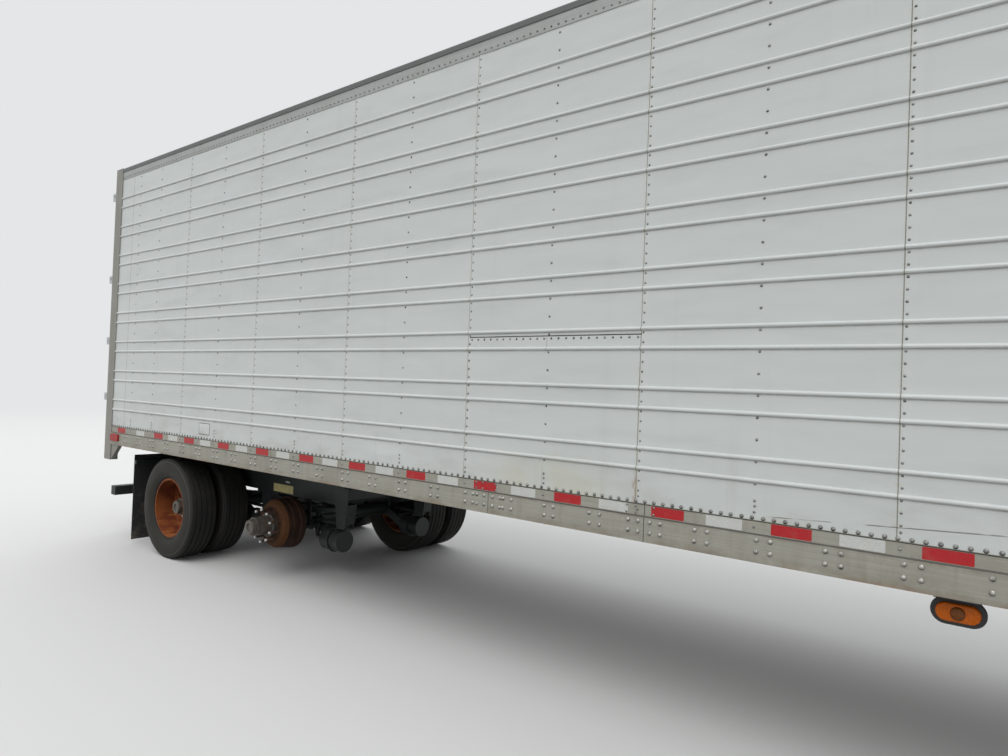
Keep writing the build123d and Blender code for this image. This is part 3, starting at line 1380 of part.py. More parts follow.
def make_amber_lamps():
    """The amber lamps: turn lamps at mid length, front side markers and front top lamps."""
    with BuildPart() as lamps:
        for side in SIDES.values():
            middle = Plane(
                origin=(
                    REAR_X + MID_LAMP_PLACE,
                    side * (HALF_WIDTH - MID_LAMP_INSET - HOUSING_PLATE + HOUSING_DEPTH),
                    RAIL_BOTTOM - MID_LAMP_DROP,
                ),
                x_dir=(1, 0, 0),
                z_dir=(0, side, 0),
            )
            with BuildSketch(middle):
                SlotOverall(*MID_LAMP_SIZE)
            extrude(amount=MID_LAMP_THICKNESS)
            marker = Plane(
                origin=(WALL_FRONT - FRONT_MARKER_SETBACK, side * HALF_WIDTH, RAIL_BOTTOM + SIDE_LAMP_HEIGHT),
                x_dir=(1, 0, 0),
                z_dir=(0, side, 0),
            )
            with BuildSketch(marker):
                RectangleRounded(*SIDE_LAMP_SIZE, MARKER_CORNER)
            extrude(amount=LAMP_PROUD)
            nose = (FRONT_X, side * NOSE_LAMP_PLACE, TOP - NOSE_LAMP_DROP)
            with BuildSketch(Plane(origin=nose, x_dir=(0, 1, 0), z_dir=(1, 0, 0))):
                SlotOverall(*NOSE_LAMP_SIZE)
            extrude(amount=LAMP_PROUD)
    write(lamps, "amber_lamps")


def make_lamp_housings():
    """The dark housings of the mid length turn lamps, hung from the rail's foot flange."""
    width, height = MID_LAMP_SIZE
    back = HALF_WIDTH - MID_LAMP_INSET
    x = REAR_X + MID_LAMP_PLACE
    bracket = (x - HOUSING_BRACKET / 2, x + HOUSING_BRACKET / 2)
    with BuildPart() as housings:
        for side in SIDES.values():
            plate = Plane(
                origin=(x, side * (back - HOUSING_PLATE), RAIL_BOTTOM - MID_LAMP_DROP),
                x_dir=(1, 0, 0),
                z_dir=(0, side, 0),
            )
            with BuildSketch(plate):
                SlotOverall(width + 2 * HOUSING_MARGIN, height + 2 * HOUSING_MARGIN)
            extrude(amount=HOUSING_DEPTH)
            inside = side * (back - HOUSING_PLATE)
            box(bracket, (inside, side * (back + 2)), (RAIL_BOTTOM - MID_LAMP_DROP, RAIL_BOTTOM))
            box(bracket, (inside, side * (HALF_WIDTH - 10)), (RAIL_BOTTOM - HOUSING_PLATE, RAIL_BOTTOM))
    write(housings, "lamp_housings")


def make_repair_panel():
    """The riveted repair sheet over the lower right side wall."""
    low = WALL_LOW + SEAT_GAP
    high = RAIL_BOTTOM + PATCH_TOP
    under = SKIN + SEAT_GAP
    with BuildPart() as patch:
        with BuildSketch(cross_section(REAR_X + PATCH_REAR)):
            with BuildLine():
                beaded_line(-1, under, low, high)
                Line((-under, high), (-under - PATCH_THICKNESS, high))
                beaded_line(-1, under + PATCH_THICKNESS, low, high)
                Line((-under, low), (-under - PATCH_THICKNESS, low))
            make_face()
        extrude(amount=PATCH_FRONT - PATCH_REAR)
    write(patch, "repair_panel")


os.makedirs("parts", exist_ok=True)
make_floor()
make_crossmembers()
make_bottom_rails()
make_top_rails()
make_roof()
make_front_wall()
make_front_frame()
make_rear_frame()
make_hinge_butts()
make_underride_guard()
make_refrigeration_unit()
make_unit_grille()
make_coupler()
make_kingpin()
make_gladhands()
make_slide_rails()
make_slider_frame()
make_leaf_springs()
make_equalizers()
make_spring_clamps()
make_radius_rods()
make_brake_chambers()
make_air_tank()
make_mud_flaps()
make_landing_legs()
make_landing_feet()
make_landing_braces()
make_landing_crank()
make_fuel_tank()
make_rear_lamps()
make_amber_lamps()
make_lamp_housings()
make_repair_panel()
for side_name, side_sign in SIDES.items():
    make_side_wall(side_name, side_sign)
    make_door(side_name, side_sign)
    make_door_hardware(side_name, side_sign)
for axle_name, axle_x in AXLES.items():
    make_axle(axle_name, axle_x)
    for side_name, side_sign in SIDES.items():
        wheels_fitted = (axle_name, side_name) != ("front", "right")
        make_drum(axle_name, axle_x, side_name, side_sign)
        make_hub(axle_name, axle_x, side_name, side_sign, wheels_fitted)
        if wheels_fitted:
            make_rims(axle_name, axle_x, side_name, side_sign)
            make_tyres(axle_name, axle_x, side_name, side_sign)
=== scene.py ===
"""Looks of a semi trailer with a ribbed insulated body, parked on its landing legs."""

import json
import math
import random

import bmesh
import bpy
from mathutils import Matrix, Vector
from mathutils.bvhtree import BVHTree


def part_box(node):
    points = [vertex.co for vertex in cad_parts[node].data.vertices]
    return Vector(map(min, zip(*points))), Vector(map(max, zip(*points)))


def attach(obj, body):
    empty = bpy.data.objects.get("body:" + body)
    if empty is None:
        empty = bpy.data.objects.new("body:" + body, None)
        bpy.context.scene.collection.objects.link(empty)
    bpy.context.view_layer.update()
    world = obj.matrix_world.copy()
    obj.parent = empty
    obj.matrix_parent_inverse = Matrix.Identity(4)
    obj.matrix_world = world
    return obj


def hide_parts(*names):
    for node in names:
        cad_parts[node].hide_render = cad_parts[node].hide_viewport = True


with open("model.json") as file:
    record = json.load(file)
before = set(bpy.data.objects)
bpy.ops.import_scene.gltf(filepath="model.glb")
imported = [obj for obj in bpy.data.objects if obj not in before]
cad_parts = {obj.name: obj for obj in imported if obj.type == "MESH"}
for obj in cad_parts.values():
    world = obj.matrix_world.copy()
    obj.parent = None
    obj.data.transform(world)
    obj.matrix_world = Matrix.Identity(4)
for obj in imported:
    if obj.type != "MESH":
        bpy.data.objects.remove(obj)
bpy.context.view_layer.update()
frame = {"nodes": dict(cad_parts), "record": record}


def tint(red, green, blue):
    """A colour with full alpha, as shader sockets want it."""
    return (red, green, blue, 1.0)


def middle_of(node):
    """Where the middle of a node's box is, along X and Z."""
    low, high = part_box(node)
    return (low.x + high.x) / 2, (low.z + high.z) / 2


# The trailer's own sizes, in metres, read from the frame where it has them
SIDES = {"right": -1, "left": 1}
wall_low, wall_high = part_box("side_wall_right")
rail_low, rail_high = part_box("bottom_rails")
patch_low, patch_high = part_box("repair_panel")
PATCH_LENGTH = patch_high.x - patch_low.x
PATCH_MIDDLE = (patch_low.x + patch_high.x) / 2
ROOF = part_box("top_rails")[1].z
FRAME_DEPTH = 0.150
REAR = wall_low.x - FRAME_DEPTH
HALF_WIDTH = -rail_low.y
BEAD_PROUD = 0.010
BEAD_WIDTH = 0.022
FIRST_BEAD = 0.374
BEAD_PERIOD = 0.3177
BEAD_GAP = 0.105
BEAD_PAIRS = 8
SKIN = HALF_WIDTH - BEAD_PROUD
RAIL_GROOVE = 0.1335

# How far a flat piece is let into what it lies on
SUNK = 0.0002

# The small sheet low on the right wall, and the slider's web that the labels are on
WALL_SHEET = (-6.150, SKIN - SUNK, 1.3345)
SLIDER_WEB = 0.555

# Lines that seat rivets and bolts start here, clear of the trailer
AHEAD = 9.0
BEHIND = REAR - 1.0
ABOVE = 5.0
BESIDE = 2.0

# Where the wall's sheets meet, counted from the rear face
POST_PITCH = 0.6096
JOINT_FROM_REAR = 7.760
POSTS_BEHIND = 11
POSTS_AHEAD = 13
END_POST = 0.590
LAP_EDGE = 0.014
LAP_STEP = 0.018
LAP_REACH = 0.045
LAP_PROUD = 0.0018
LAP_SUNK = 0.0010

# Marks low on the right wall: a long crease, given at its middle, and a dent above the foot
CREASE_SPAN = (-1.06, -0.10)
CREASE_MIDDLE = -0.50
CREASE_HEIGHT = 1.2960
CREASE_SLOPE = 0.060
DENT_PLACE = -3.687
DENT_RISE = 0.16

# Heads of rivets and bolts, as (radius, height)
WALL_RIVET = (0.0072, 0.0048)
FOOT_RIVET = (0.0104, 0.0072)
RAIL_RIVET = (0.0125, 0.0084)
GUIDE_RIVET = (0.0065, 0.0045)
HINGE_BOLT = (0.0085, 0.0065)
UNIT_SCREW = (0.0075, 0.0060)

# Rivets of the walls: pitches, then places from the wall's foot or top, or along the rail
JOINT_RIVET_PITCH = 0.0530
POST_RIVET_PITCH = 0.1050
FOOT_RIVET_PITCH = 0.0508
RIVET_PLAY = 0.0012
COLUMN_FOOT = 0.065
COLUMN_TOP = 0.030
LOWEST_RIVET = 0.036
EXTRA_POST_RIVET = 0.090
ROW_END = 0.020
FOOT_ROW = 0.0100
TOP_ROW = 0.022
PATCH_ROW = 0.014
TAPE_ROW = 0.166

# Rivets of the lower rails: columns ahead of each post, and those at the rail's splices
RAIL_ROWS = (0.052, 0.108)
RAIL_COLUMNS = (0.016, 0.080, 0.320, 0.385)
RAIL_SPLICES = (6.583, 5.526)
SPLICE_REACH = 0.115
SPLICE_COLUMNS = (-0.092, -0.034, 0.034, 0.092)
TAPE_SPLICE_COLUMNS = (-0.105, -0.052, 0.052)
TAPE_SPLICE_ROWS = (TAPE_ROW - 0.018, TAPE_ROW + 0.018)

# Rivets of the bulkhead and along the roof's edges
NOSE_COLUMN = 1.125
NOSE_SPAN = (1.30, 3.95)
NOSE_ROWS = (1.225, 1.265)
NOSE_ROW_END = 1.10
ROOF_COLUMN = 1.262
ROOF_SPAN = (REAR + 0.30, 7.75)

# Covers of the refrigeration unit: upright and level seams, and the screws beside them
UNIT_SEAM = 0.800
UNIT_LEVELS = (2.355, 3.095, 3.835)
SCREW_OFF_SEAM = 0.025
FRONT_SCREWS = (2.45, 2.72, 2.98, 3.21, 3.47, 3.74)
SIDE_SCREW_COLUMNS = (7.96, 8.10, 8.22)
SIDE_SCREWS = (2.45, 3.05, 3.14, 3.74)
LEVEL_SCREW_END = 0.70
LEVEL_SCREW_PITCH = 0.28

# The running gear
AXLE_FRONT = middle_of("tyres_front_left")[0]
AXLE_REAR = middle_of("tyres_rear_left")[0]
AXLE_MIDDLE = (AXLE_FRONT + AXLE_REAR) / 2
AXLE_SPREAD = (AXLE_FRONT - AXLE_REAR) / 2
AXLE_HEIGHT = 0.495
DRUM_FACE = 0.929
STUD_TIP = 1.035
STUD_CIRCLE = 0.122
HUB_LIP = 1.132
WHEEL_SEAT = (0.150, 0.185)
RIM_LIP = 0.285

# Tyres: half widths, tread grooves, and the sidewall as (half width, drop below the tread)
TYRE_HALF = 0.141
TREAD_HALF = 0.118
TREAD_DROP = 0.003
TREAD_EDGE = AXLE_HEIGHT - 0.034
GROOVES = (-0.078, -0.026, 0.026, 0.078)
GROOVE_WIDTH = 0.011
GROOVE_DEPTH = 0.012
SIDEWALL = (
    (0.1235, 0.010), (0.1275, 0.020), (0.1320, 0.034), (0.1355, 0.052), (0.1385, 0.072),
    (0.1400, 0.092), (0.1400, 0.108), (0.1385, 0.122), (0.1392, 0.126), (0.1385, 0.130),
    (0.1350, 0.146), (0.1290, 0.162), (0.1215, 0.176), (0.1140, 0.186), (0.1115, 0.190),
    (0.1080, 0.1915), (0.1030, 0.1915), (0.0970, 0.192), (0.0968, 0.209),
)

# Reflective tape on the upper face of the lower rail
TAPE_LOW = 0.140
TAPE_HIGH = 0.192
TAPE_LENGTH = 0.180
TAPE_THICKNESS = 0.0008
RAIL_SETBACK = 0.006
RED_START = 0.080
WHITE_START = 0.375
END_RED = 0.300
END_WHITE = 0.740

# The mid length turn lamps: lens, dark housing with its bracket, and the dome in the middle
TURN_LAMP = (REAR + 7.963, 1.197, 0.966)
TURN_LENS = (0.160, 0.076, 0.022)
TURN_DOME = (0.052, 0.056, 0.014)
TURN_HOUSING = (0.200, 0.112, 0.018)
TURN_BRACKET = 0.080
BRACKET_THICKNESS = 0.008
LAMP_PROUD = 0.018
FRONT_MARKER = (7.517, 1.122)
MARKER_SIZE = (0.180, 0.076)
NOSE_LAMP = (7.907, 1.100, 4.049)
NOSE_LAMP_SIZE = (0.110, 0.036)

# The doors, their hardware and the guard; the seals as spans across, up and out from the rear
SEAL_ACROSS = (0.006, 1.211)
SEAL_UP = (1.334, 3.936)
SEAL_OUT = (-0.0035, 0.006)
SEAL_WIDTH = 0.014
HINGE_HEIGHTS = (1.560, 2.180, 2.865, 3.790)
HINGE_BOLTS = (0.890, 0.975, 1.060, 1.145)
ROD_PLACES = (0.190, 0.640)
GUIDE_HEIGHTS = (1.480, 2.100, 2.700, 3.300, 3.790)
GUIDE_RIVET_RISE = 0.019
DOOR_TAPE = 1.392
DOOR_TAPES = (("red", 0.103), ("white", 0.315), ("red", 0.510), ("white", 0.765), ("red", 0.980))
GUARD_FACE = -8.387
GUARD_TAPE = 0.490
GUARD_TAPE_END = 1.030
GUARD_TAPE_PITCH = 0.206
TAIL_LAMPS = (1.010, 1.145)
TAIL_LAMP_HEIGHT = 1.185
GROMMET_RADIUS = 0.054
GROMMET_THICKNESS = 0.007

# The floor, and where it fades into the background, counted from the trailer's middle
FLOOR_RADIUS = 70.0
FLOOR_SIDES = 64
FADE = (16.0, 42.0)

# The photograph's camera: it stands off the right side and looks towards the rear
CAMERA_PLACE = Vector((-0.020, -4.621, 1.821))
CAMERA_YAW = math.radians(38.14)
CAMERA_PITCH = math.radians(0.82)
CAMERA_ROLL = math.radians(2.17)
SENSOR_WIDTH = 36.0
FOCAL_PIXELS = 690
PHOTO_WIDTH = 1008

# Colours that more than one finish has, or that set a finish, as linear light
WHITE_PAINT = tint(0.556, 0.580, 0.572)
CLOUDY_WHITE = tint(0.430, 0.456, 0.450)
ROAD_DUST = tint(0.300, 0.272, 0.220)
SEAM_DIRT = tint(0.120, 0.112, 0.085)
YELLOW_STAIN = tint(0.500, 0.450, 0.290)
RUST_STAIN = tint(0.270, 0.130, 0.055)
ORANGE_RUST = tint(0.230, 0.066, 0.018)
RED_RUST = tint(0.135, 0.030, 0.012)
PALE_RUST = tint(0.400, 0.170, 0.055)
BROWN_RUST = tint(0.075, 0.030, 0.016)
DARK_RUST = tint(0.028, 0.014, 0.010)
BARE_ALUMINIUM = tint(0.350, 0.340, 0.290)
DULL_ALUMINIUM = tint(0.215, 0.198, 0.155)
HIGH_ALUMINIUM = tint(0.390, 0.405, 0.395)
BROWN_FILM = tint(0.150, 0.112, 0.076)
FRAME_PAINT = tint(0.235, 0.228, 0.205)
CHASSIS_PAINT = tint(0.015, 0.019, 0.020)
TYRE_GREY = tint(0.020, 0.019, 0.016)
TYRE_BLACK = tint(0.013, 0.013, 0.013)
TYRE_DUST = tint(0.052, 0.045, 0.033)
SEALANT = tint(0.030, 0.030, 0.028)
BACKGROUND = tint(0.780, 0.790, 0.800)


class Signal:
    """A number on a shader socket: arithmetic on it adds the nodes that work it out."""

    def __init__(self, graph, socket):
        self.graph = graph
        self.socket = socket

    def math(self, operation, *values):
        return self.graph.node("Math", {"operation": operation}, dict(enumerate(values)))

    def __add__(self, other):
        return self.math("ADD", self, other)

    __radd__ = __add__

    def __sub__(self, other):
        return self.math("SUBTRACT", self, other)

    def __rsub__(self, other):
        return self.math("SUBTRACT", other, self)

    def __mul__(self, other):
        return self.math("MULTIPLY", self, other)

    __rmul__ = __mul__

    def __pow__(self, other):
        return self.math("POWER", self, other)

    def __rpow__(self, other):
        return self.math("POWER", other, self)

    def abs(self):
        return self.math("ABSOLUTE", self)

    def least(self, other):
        return self.math("MINIMUM", self, other)

    def most(self, other):
        return self.math("MAXIMUM", self, other)

    def folded(self, length):
        """How far the number is from the nearest even multiple of the length."""
        return self.math("PINGPONG", self, length)

    def repeated(self, length):
        """What is left of the number past the last whole multiple of the length."""
        return self.math("FLOORED_MODULO", self, length)

    def step(self, low, high):
        """0 where the number is at low, 1 where it is at high, and smooth between them."""
        sockets = {"Value": self, "From Min": low, "From Max": high, "To Min": 0.0, "To Max": 1.0}
        if low > high:
            sockets.update({"From Min": high, "From Max": low, "To Min": 1.0, "To Max": 0.0})
        return self.graph.node("MapRange", {"interpolation_type": "SMOOTHSTEP"}, sockets)


class Graph:
    """A node tree in the making."""

    def __init__(self, tree, coordinates="Object"):
        self.nodes = tree.nodes
        self.links = tree.links
        self.place = self.node("TexCoord", output=coordinates)

    def node(self, kind, settings=None, sockets=None, output=0):
        """Adds a node: its settings first, then the values or links of its sockets."""
        made = self.nodes.new("ShaderNode" + kind)
        for name, value in (settings or {}).items():
            setattr(made, name, value)
        for key, value in (sockets or {}).items():
            if isinstance(value, Signal):
                self.links.new(value.socket, made.inputs[key])
            else:
                made.inputs[key].default_value = value
        return Signal(self, made.outputs[output] if made.outputs else None)

    def vector(self, operation, first, second=(0, 0, 0), output=0):
        """Adds a node that works on two vectors."""
        return self.node("VectorMath", {"operation": operation}, {0: first, 1: second}, output)

    def noise(self, scale, detail=3.0, roughness=0.5, stretch=(1, 1, 1), distortion=0.0):
        sockets = {
            "Vector": self.vector("MULTIPLY", self.place, stretch),
            "Scale": scale,
            "Detail": detail,
            "Roughness": roughness,
            "Distortion": distortion,
        }
        return self.node("TexNoise", {}, sockets)

    def cells(self, scale):
        return self.node("TexVoronoi", {}, {"Vector": self.place, "Scale": scale})

    def axis(self, letter):
        return self.node("SeparateXYZ", {}, {0: self.place}, output=letter)

    def upward(self):
        """How squarely the surface looks up: 1 on top, -1 underneath."""
        normal = self.node("NewGeometry", output="Normal")
        return self.node("SeparateXYZ", {}, {0: normal}, output="Z")

    def spot(self, centre, reach):
        """1 at a point, falling to 0 at the reach along each axis."""
        share = self.vector("DIVIDE", self.vector("SUBTRACT", self.place, centre), reach)
        return self.vector("LENGTH", share, output="Value").step(1.0, 0.0)

    def mix(self, factor, first, second):
        """The first colour where the factor is 0, the second where it is 1."""
        settings = {"data_type": "RGBA", "clamp_factor": True}
        return self.node("Mix", settings, {0: factor, 6: first, 7: second}, output=2)

    def layers(self, colour, *coats):
        """Lays coats over a colour in turn, each given as its share and its own colour."""
        for share, coat in coats:
            colour = self.mix(share, colour, coat)
        return colour

    def shade(self, colour, factor):
        """The colour made lighter or darker by a factor that varies about 1."""
        vector = colour if isinstance(colour, Signal) else colour[:3]
        return self.node("VectorMath", {"operation": "SCALE"}, {0: vector, "Scale": factor})

    def seen_directly(self):
        """1 for the rays that see the surface itself, 0 for those that only light the object."""
        seen = self.node("LightPath", output="Is Camera Ray")
        for kind in ("Is Glossy Ray", "Is Transmission Ray"):
            seen = seen.most(self.node("LightPath", output=kind))
        return seen


class Finish(Graph):
    """A material in the making: its shader, its bumps, and the links when it is done."""

    def __init__(self, name, constants=None):
        self.material = bpy.data.materials.new(name)
        self.material.use_nodes = True
        super().__init__(self.material.node_tree)
        self.shader = self.nodes["Principled BSDF"]
        for socket, value in (constants or {}).items():
            self.shader.inputs[socket].default_value = value
        self.normal = None

    def bump(self, height, distance, strength=1.0):
        sockets = {"Height": height, "Distance": distance, "Strength": strength}
        if self.normal:
            sockets["Normal"] = self.normal
        self.normal = self.node("Bump", {}, sockets)

    def done(self, colour, roughness, metallic=0.0, coat=None):
        """Links what varies to the shader and hands the material over."""
        inputs = {"Base Color": colour, "Roughness": roughness, "Metallic": metallic}
        inputs.update({"Coat Weight": coat, "Normal": self.normal})
        for socket, value in inputs.items():
            if isinstance(value, Signal):
                self.links.new(value.socket, self.shader.inputs[socket])
            elif value is not None:
                self.shader.inputs[socket].default_value = value
        return self.material


def painted_skin():
    """White paint on thin sheet: shallow waves, cloudy smears, dirt along seams and foot, and painted shade
    below the beads and along the crease.
    """
    skin = Finish("painted_skin", {"IOR": 1.5})
    along, across, height = skin.axis("X"), skin.axis("Y"), skin.axis("Z")
    right_side = across.step(-1.0, -1.2)
    on_wall = height.step(wall_high.z, wall_high.z - 0.002) * across.abs().step(1.20, 1.27)
    wobble = skin.noise(60.0, 3.0, 0.6, (0.2, 1, 1))
    clouds = skin.noise(0.7, 3.0, 0.5, (0.8, 1, 1.6))
    smears = skin.noise(2.4, 4.0, 0.6, (0.5, 1, 2.2), 0.4).step(0.46, 0.78)
    runs = skin.noise(9.0, 4.0, 0.6, (1, 1, 0.05)).step(0.56, 0.80)
    foot = height.step(wall_low.z + 0.45, wall_low.z)
    splash = skin.noise(5.0, 5.0, 0.6, (0.6, 1, 1.6)).step(0.42, 0.75)
    dirt = (runs * 0.07 + foot * 0.05 + foot * splash * 0.26 + foot * runs * 0.14).least(0.8)

    # Where two sheets meet
    sheets = (along - (REAR + JOINT_FROM_REAR - LAP_EDGE)).folded(POST_PITCH)
    seam = sheets.step(0.0032, 0.0016) * on_wall
    seam_stain = sheets.step(0.020, 0.001) * wobble.step(0.42, 0.66) * on_wall

    # Stains below the repair sheet, and the broken line down its middle
    stain = skin.spot((PATCH_MIDDLE, patch_low.y, wall_low.z + 0.02), (PATCH_LENGTH * 0.56, 0.3, 0.26))
    yellow = stain * skin.noise(3.2, 4.0, 0.6).step(0.30, 0.62) * right_side * 0.50
    streak = skin.spot((patch_high.x - 0.012, patch_low.y, wall_low.z + 0.06), (0.024, 0.3, 0.15))
    rust = streak * skin.noise(38.0, 3.0, 0.6, (1, 1, 0.4)).step(0.38, 0.62) * right_side * 0.70
    gaps = skin.noise(6.0, 1.0, 0.5, (0.2, 0.2, 1)).step(0.50, 0.54)
    on_patch = height.step(patch_high.z, patch_high.z - 0.01) * right_side
    patch_seam = (along - PATCH_MIDDLE + 0.006).abs().step(0.0024, 0.0012) * gaps * on_patch

    # The long crease: a shallow bump, and a dark line painted along it as shade in the crease
    first, last = CREASE_SPAN
    tear = skin.noise(5.0, 2.0, 0.5, (1, 0.2, 0.2)).step(0.38, 0.48)
    crease_run = along.step(first, first + 0.08) * along.step(last, last - 0.06) * tear
    crease_line = (along - CREASE_MIDDLE) * CREASE_SLOPE + CREASE_HEIGHT
    crease_and_shade = (height - crease_line).abs().step(0.0042, 0.0010) * crease_run * right_side

    # Dirt and painted shade: a dust-coloured band darkens the skin just below every bead
    first_bead = rail_low.z + FIRST_BEAD
    beads = (height - (first_bead - 0.007)).repeated(BEAD_PERIOD)
    dirt_and_shade_under_low = beads.step(0.0, 0.005) * beads.step(0.012, 0.006)
    dirt_and_shade_under_high = beads.step(BEAD_GAP, BEAD_GAP + 0.005) * beads.step(BEAD_GAP + 0.012, BEAD_GAP + 0.006)
    dirt_and_shade_under_bead = (dirt_and_shade_under_low + dirt_and_shade_under_high) * wobble.step(0.35, 0.60) * on_wall
    dirt_and_shade_under_bead = dirt_and_shade_under_bead * height.step(first_bead - 0.02, first_bead - 0.01)

    # The roof's bows
    bows = (along - REAR).folded(POST_PITCH / 2)
    bow_ridge = bows.step(0.05, 0.0) * height.step(ROOF - 0.03, ROOF - 0.02)

    colour = skin.layers(
        skin.shade(WHITE_PAINT, 0.975 + clouds * 0.06),
        (bow_ridge * clouds * 0.5, ROAD_DUST),
        (smears * 0.34, CLOUDY_WHITE),
        (dirt, ROAD_DUST),
        (seam_stain * 0.35, YELLOW_STAIN),
        (seam * 0.75, SEAM_DIRT),
        # Painted shade: the dark line along the crease
        (crease_and_shade * 0.65, SEAM_DIRT),
        # Painted shade with dirt: the dust-coloured band just below each bead
        (dirt_and_shade_under_bead * 0.30, ROAD_DUST),
        (patch_seam * 0.60, SEAM_DIRT),
        (yellow, YELLOW_STAIN),
        (rust, RUST_STAIN),
    )
    skin.bump(bow_ridge, 0.003, 0.7)
    skin.bump(skin.noise(1.5, 2.0, 0.5, (0.9, 1, 2.4)), 0.020, 0.6)
    skin.bump(skin.noise(4.5, 2.0, 0.5, (0.8, 1, 1.8)), 0.0040, 0.55)
    dent = skin.spot((DENT_PLACE, -SKIN, wall_low.z + DENT_RISE), (0.24, 0.3, 0.095))
    skin.bump((dent * -1.0 + crease_and_shade * 0.30) * right_side, 0.009, 0.8)
    skin.bump(skin.noise(900.0, 1.0), 0.0002, 0.2)
    return skin.done(colour, 0.27 + clouds * 0.10 + smears * 0.08 + dirt * 0.5)


def rail_metal():
    """Bare aluminium rail: drawn along its length, dulled, streaked and stained brown below."""
    rail = Finish("rail_metal")
    along, height = rail.axis("X"), rail.axis("Z")
    drawn = rail.noise(30.0, 4.0, 0.65, (0.05, 1, 5.0))
    brushed = rail.noise(90.0, 3.0, 0.6, (0.02, 1, 3.0)).step(0.42, 0.62)
    runs = rail.noise(16.0, 4.0, 0.6, (1, 1, 0.10)).step(0.46, 0.72)
    blotches = rail.noise(3.0, 5.0, 0.65).step(0.42, 0.72)
    specks = rail.noise(60.0, 4.0, 0.7).step(0.58, 0.70)
    ragged = rail.noise(7.0, 5.0, 0.65, (1, 1, 2.0)).step(0.36, 0.66)
    dirt = (runs * 0.24 + blotches * 0.36 + specks * 0.30 + brushed * 0.16).least(0.85)
    high = height.step(wall_low.z + 0.2, wall_high.z - 0.2)
    low_stain = height.step(rail_low.z + 0.060, rail_low.z + 0.004) * ragged
    low_rust = height.step(rail_low.z + 0.022, rail_low.z + 0.002) * blotches
    groove = rail_low.z + RAIL_GROOVE
    under_groove = height.step(groove - 0.0215, groove - 0.0025)
    under_groove = under_groove * height.step(groove + 0.0010, groove - 0.0005) * ragged
    lip = (height - (wall_low.z - 0.0040)).abs().step(0.0040, 0.0020)
    seams = (height - groove).abs().step(0.0050, 0.0025).most(lip)
    for place in RAIL_SPLICES:
        seams = seams.most((along - (REAR + place)).abs().step(0.0034, 0.0020))
    below_wall = height.step(wall_low.z + 0.01, wall_low.z)
    top_edge = height.step(ROOF - 0.052, ROOF - 0.047)
    metal = rail.mix(high, BARE_ALUMINIUM, HIGH_ALUMINIUM)
    colour = rail.layers(
        rail.shade(metal, 0.72 + drawn * 0.50),
        (dirt * (1 - high * 0.6), DULL_ALUMINIUM),
        (low_stain * 0.45, BROWN_FILM),
        (low_rust * 0.50, RUST_STAIN),
        (under_groove * below_wall * 0.45, BROWN_FILM),
        (seams * below_wall * 0.80, SEALANT),
        (top_edge * 0.80, tint(0.075, 0.077, 0.078)),
    )
    rail.bump(drawn, 0.0006, 0.35)
    rail.bump(rail.noise(2.2, 2.0, 0.5, (0.6, 1, 1)), 0.006, 0.35)
    rail.bump(seams, 0.002, -0.5)
    return rail.done(colour, 0.38 + dirt * 0.35 + drawn * 0.08, 0.42 - dirt * 0.30)


def rivet_metal(name, colour, metallic, roughness):
    """Rivet heads, some cleaner than others, with painted shade darkening the downward-facing side of each.
    """
    rivet = Finish(name)
    grime = rivet.noise(40.0, 3.0, 0.6).step(0.40, 0.70)
    # Painted shade: the side of each head that faces down is darkened
    painted_underside_shade = rivet.upward().step(0.15, -0.55)
    shaded = rivet.shade(colour, 1.15 - grime * 0.5 - painted_underside_shade * 0.55)
    return rivet.done(shaded, roughness + grime * 0.2, metallic)


def reflective_tape(name, colour):
    """Reflective tape: a fine diamond lattice under a clear face, greyed by dirt."""
    tape = Finish(name, {"Coat Roughness": 0.18, "Specular IOR Level": 0.35})
    lattice = tape.cells(210.0)
    dirt = tape.noise(14.0, 5.0, 0.65).step(0.45, 0.78)
    shaded = tape.mix(dirt * 0.16, tape.shade(colour, 0.90 + lattice * 0.3), ROAD_DUST)
    tape.bump(lattice, 0.0004, 0.4)
    return tape.done(shaded, 0.42 + dirt * 0.3, 0.0, 0.12 - dirt * 0.1)


def frame_paint():
    """Worn grey paint on the rear frame, with rust at its foot and along its edges."""
    paint = Finish("frame_paint")
    clouds = paint.noise(4.0, 4.0)
    chips = paint.noise(30.0, 5.0, 0.7).step(0.60, 0.68)
    foot = paint.axis("Z").step(rail_low.z + 0.35, rail_low.z - 0.15)
    rust = (chips * (0.25 + foot * 0.7)).least(1.0)
    runs = paint.noise(18.0, 4.0, 0.6, (1, 1, 0.07)).step(0.50, 0.72)
    painted = paint.shade(FRAME_PAINT, 0.80 + clouds * 0.40)
    colour = paint.layers(painted, (runs * 0.30, ROAD_DUST), (rust, BROWN_RUST))
    paint.bump(chips, 0.0008, -0.4)
    paint.bump(paint.noise(300.0, 2.0), 0.0003, 0.3)
    return paint.done(colour, 0.50 + rust * 0.3 + clouds * 0.1)


def galvanised():
    """Zinc on the door gear: pale spangle with white and brown bloom."""
    zinc = Finish("galvanised")
    bloom = zinc.noise(12.0, 4.0, 0.6).step(0.48, 0.70)
    rust = zinc.noise(25.0, 5.0, 0.7).step(0.62, 0.72)
    spangle = zinc.shade(tint(0.46, 0.47, 0.47), 0.82 + zinc.cells(70.0) * 0.5)
    colour = zinc.layers(spangle, (bloom * 0.45, tint(0.52, 0.51, 0.48)), (rust * 0.7, RUST_STAIN))
    return zinc.done(colour, 0.38 + bloom * 0.25 + rust * 0.2, 0.75 - rust * 0.6)


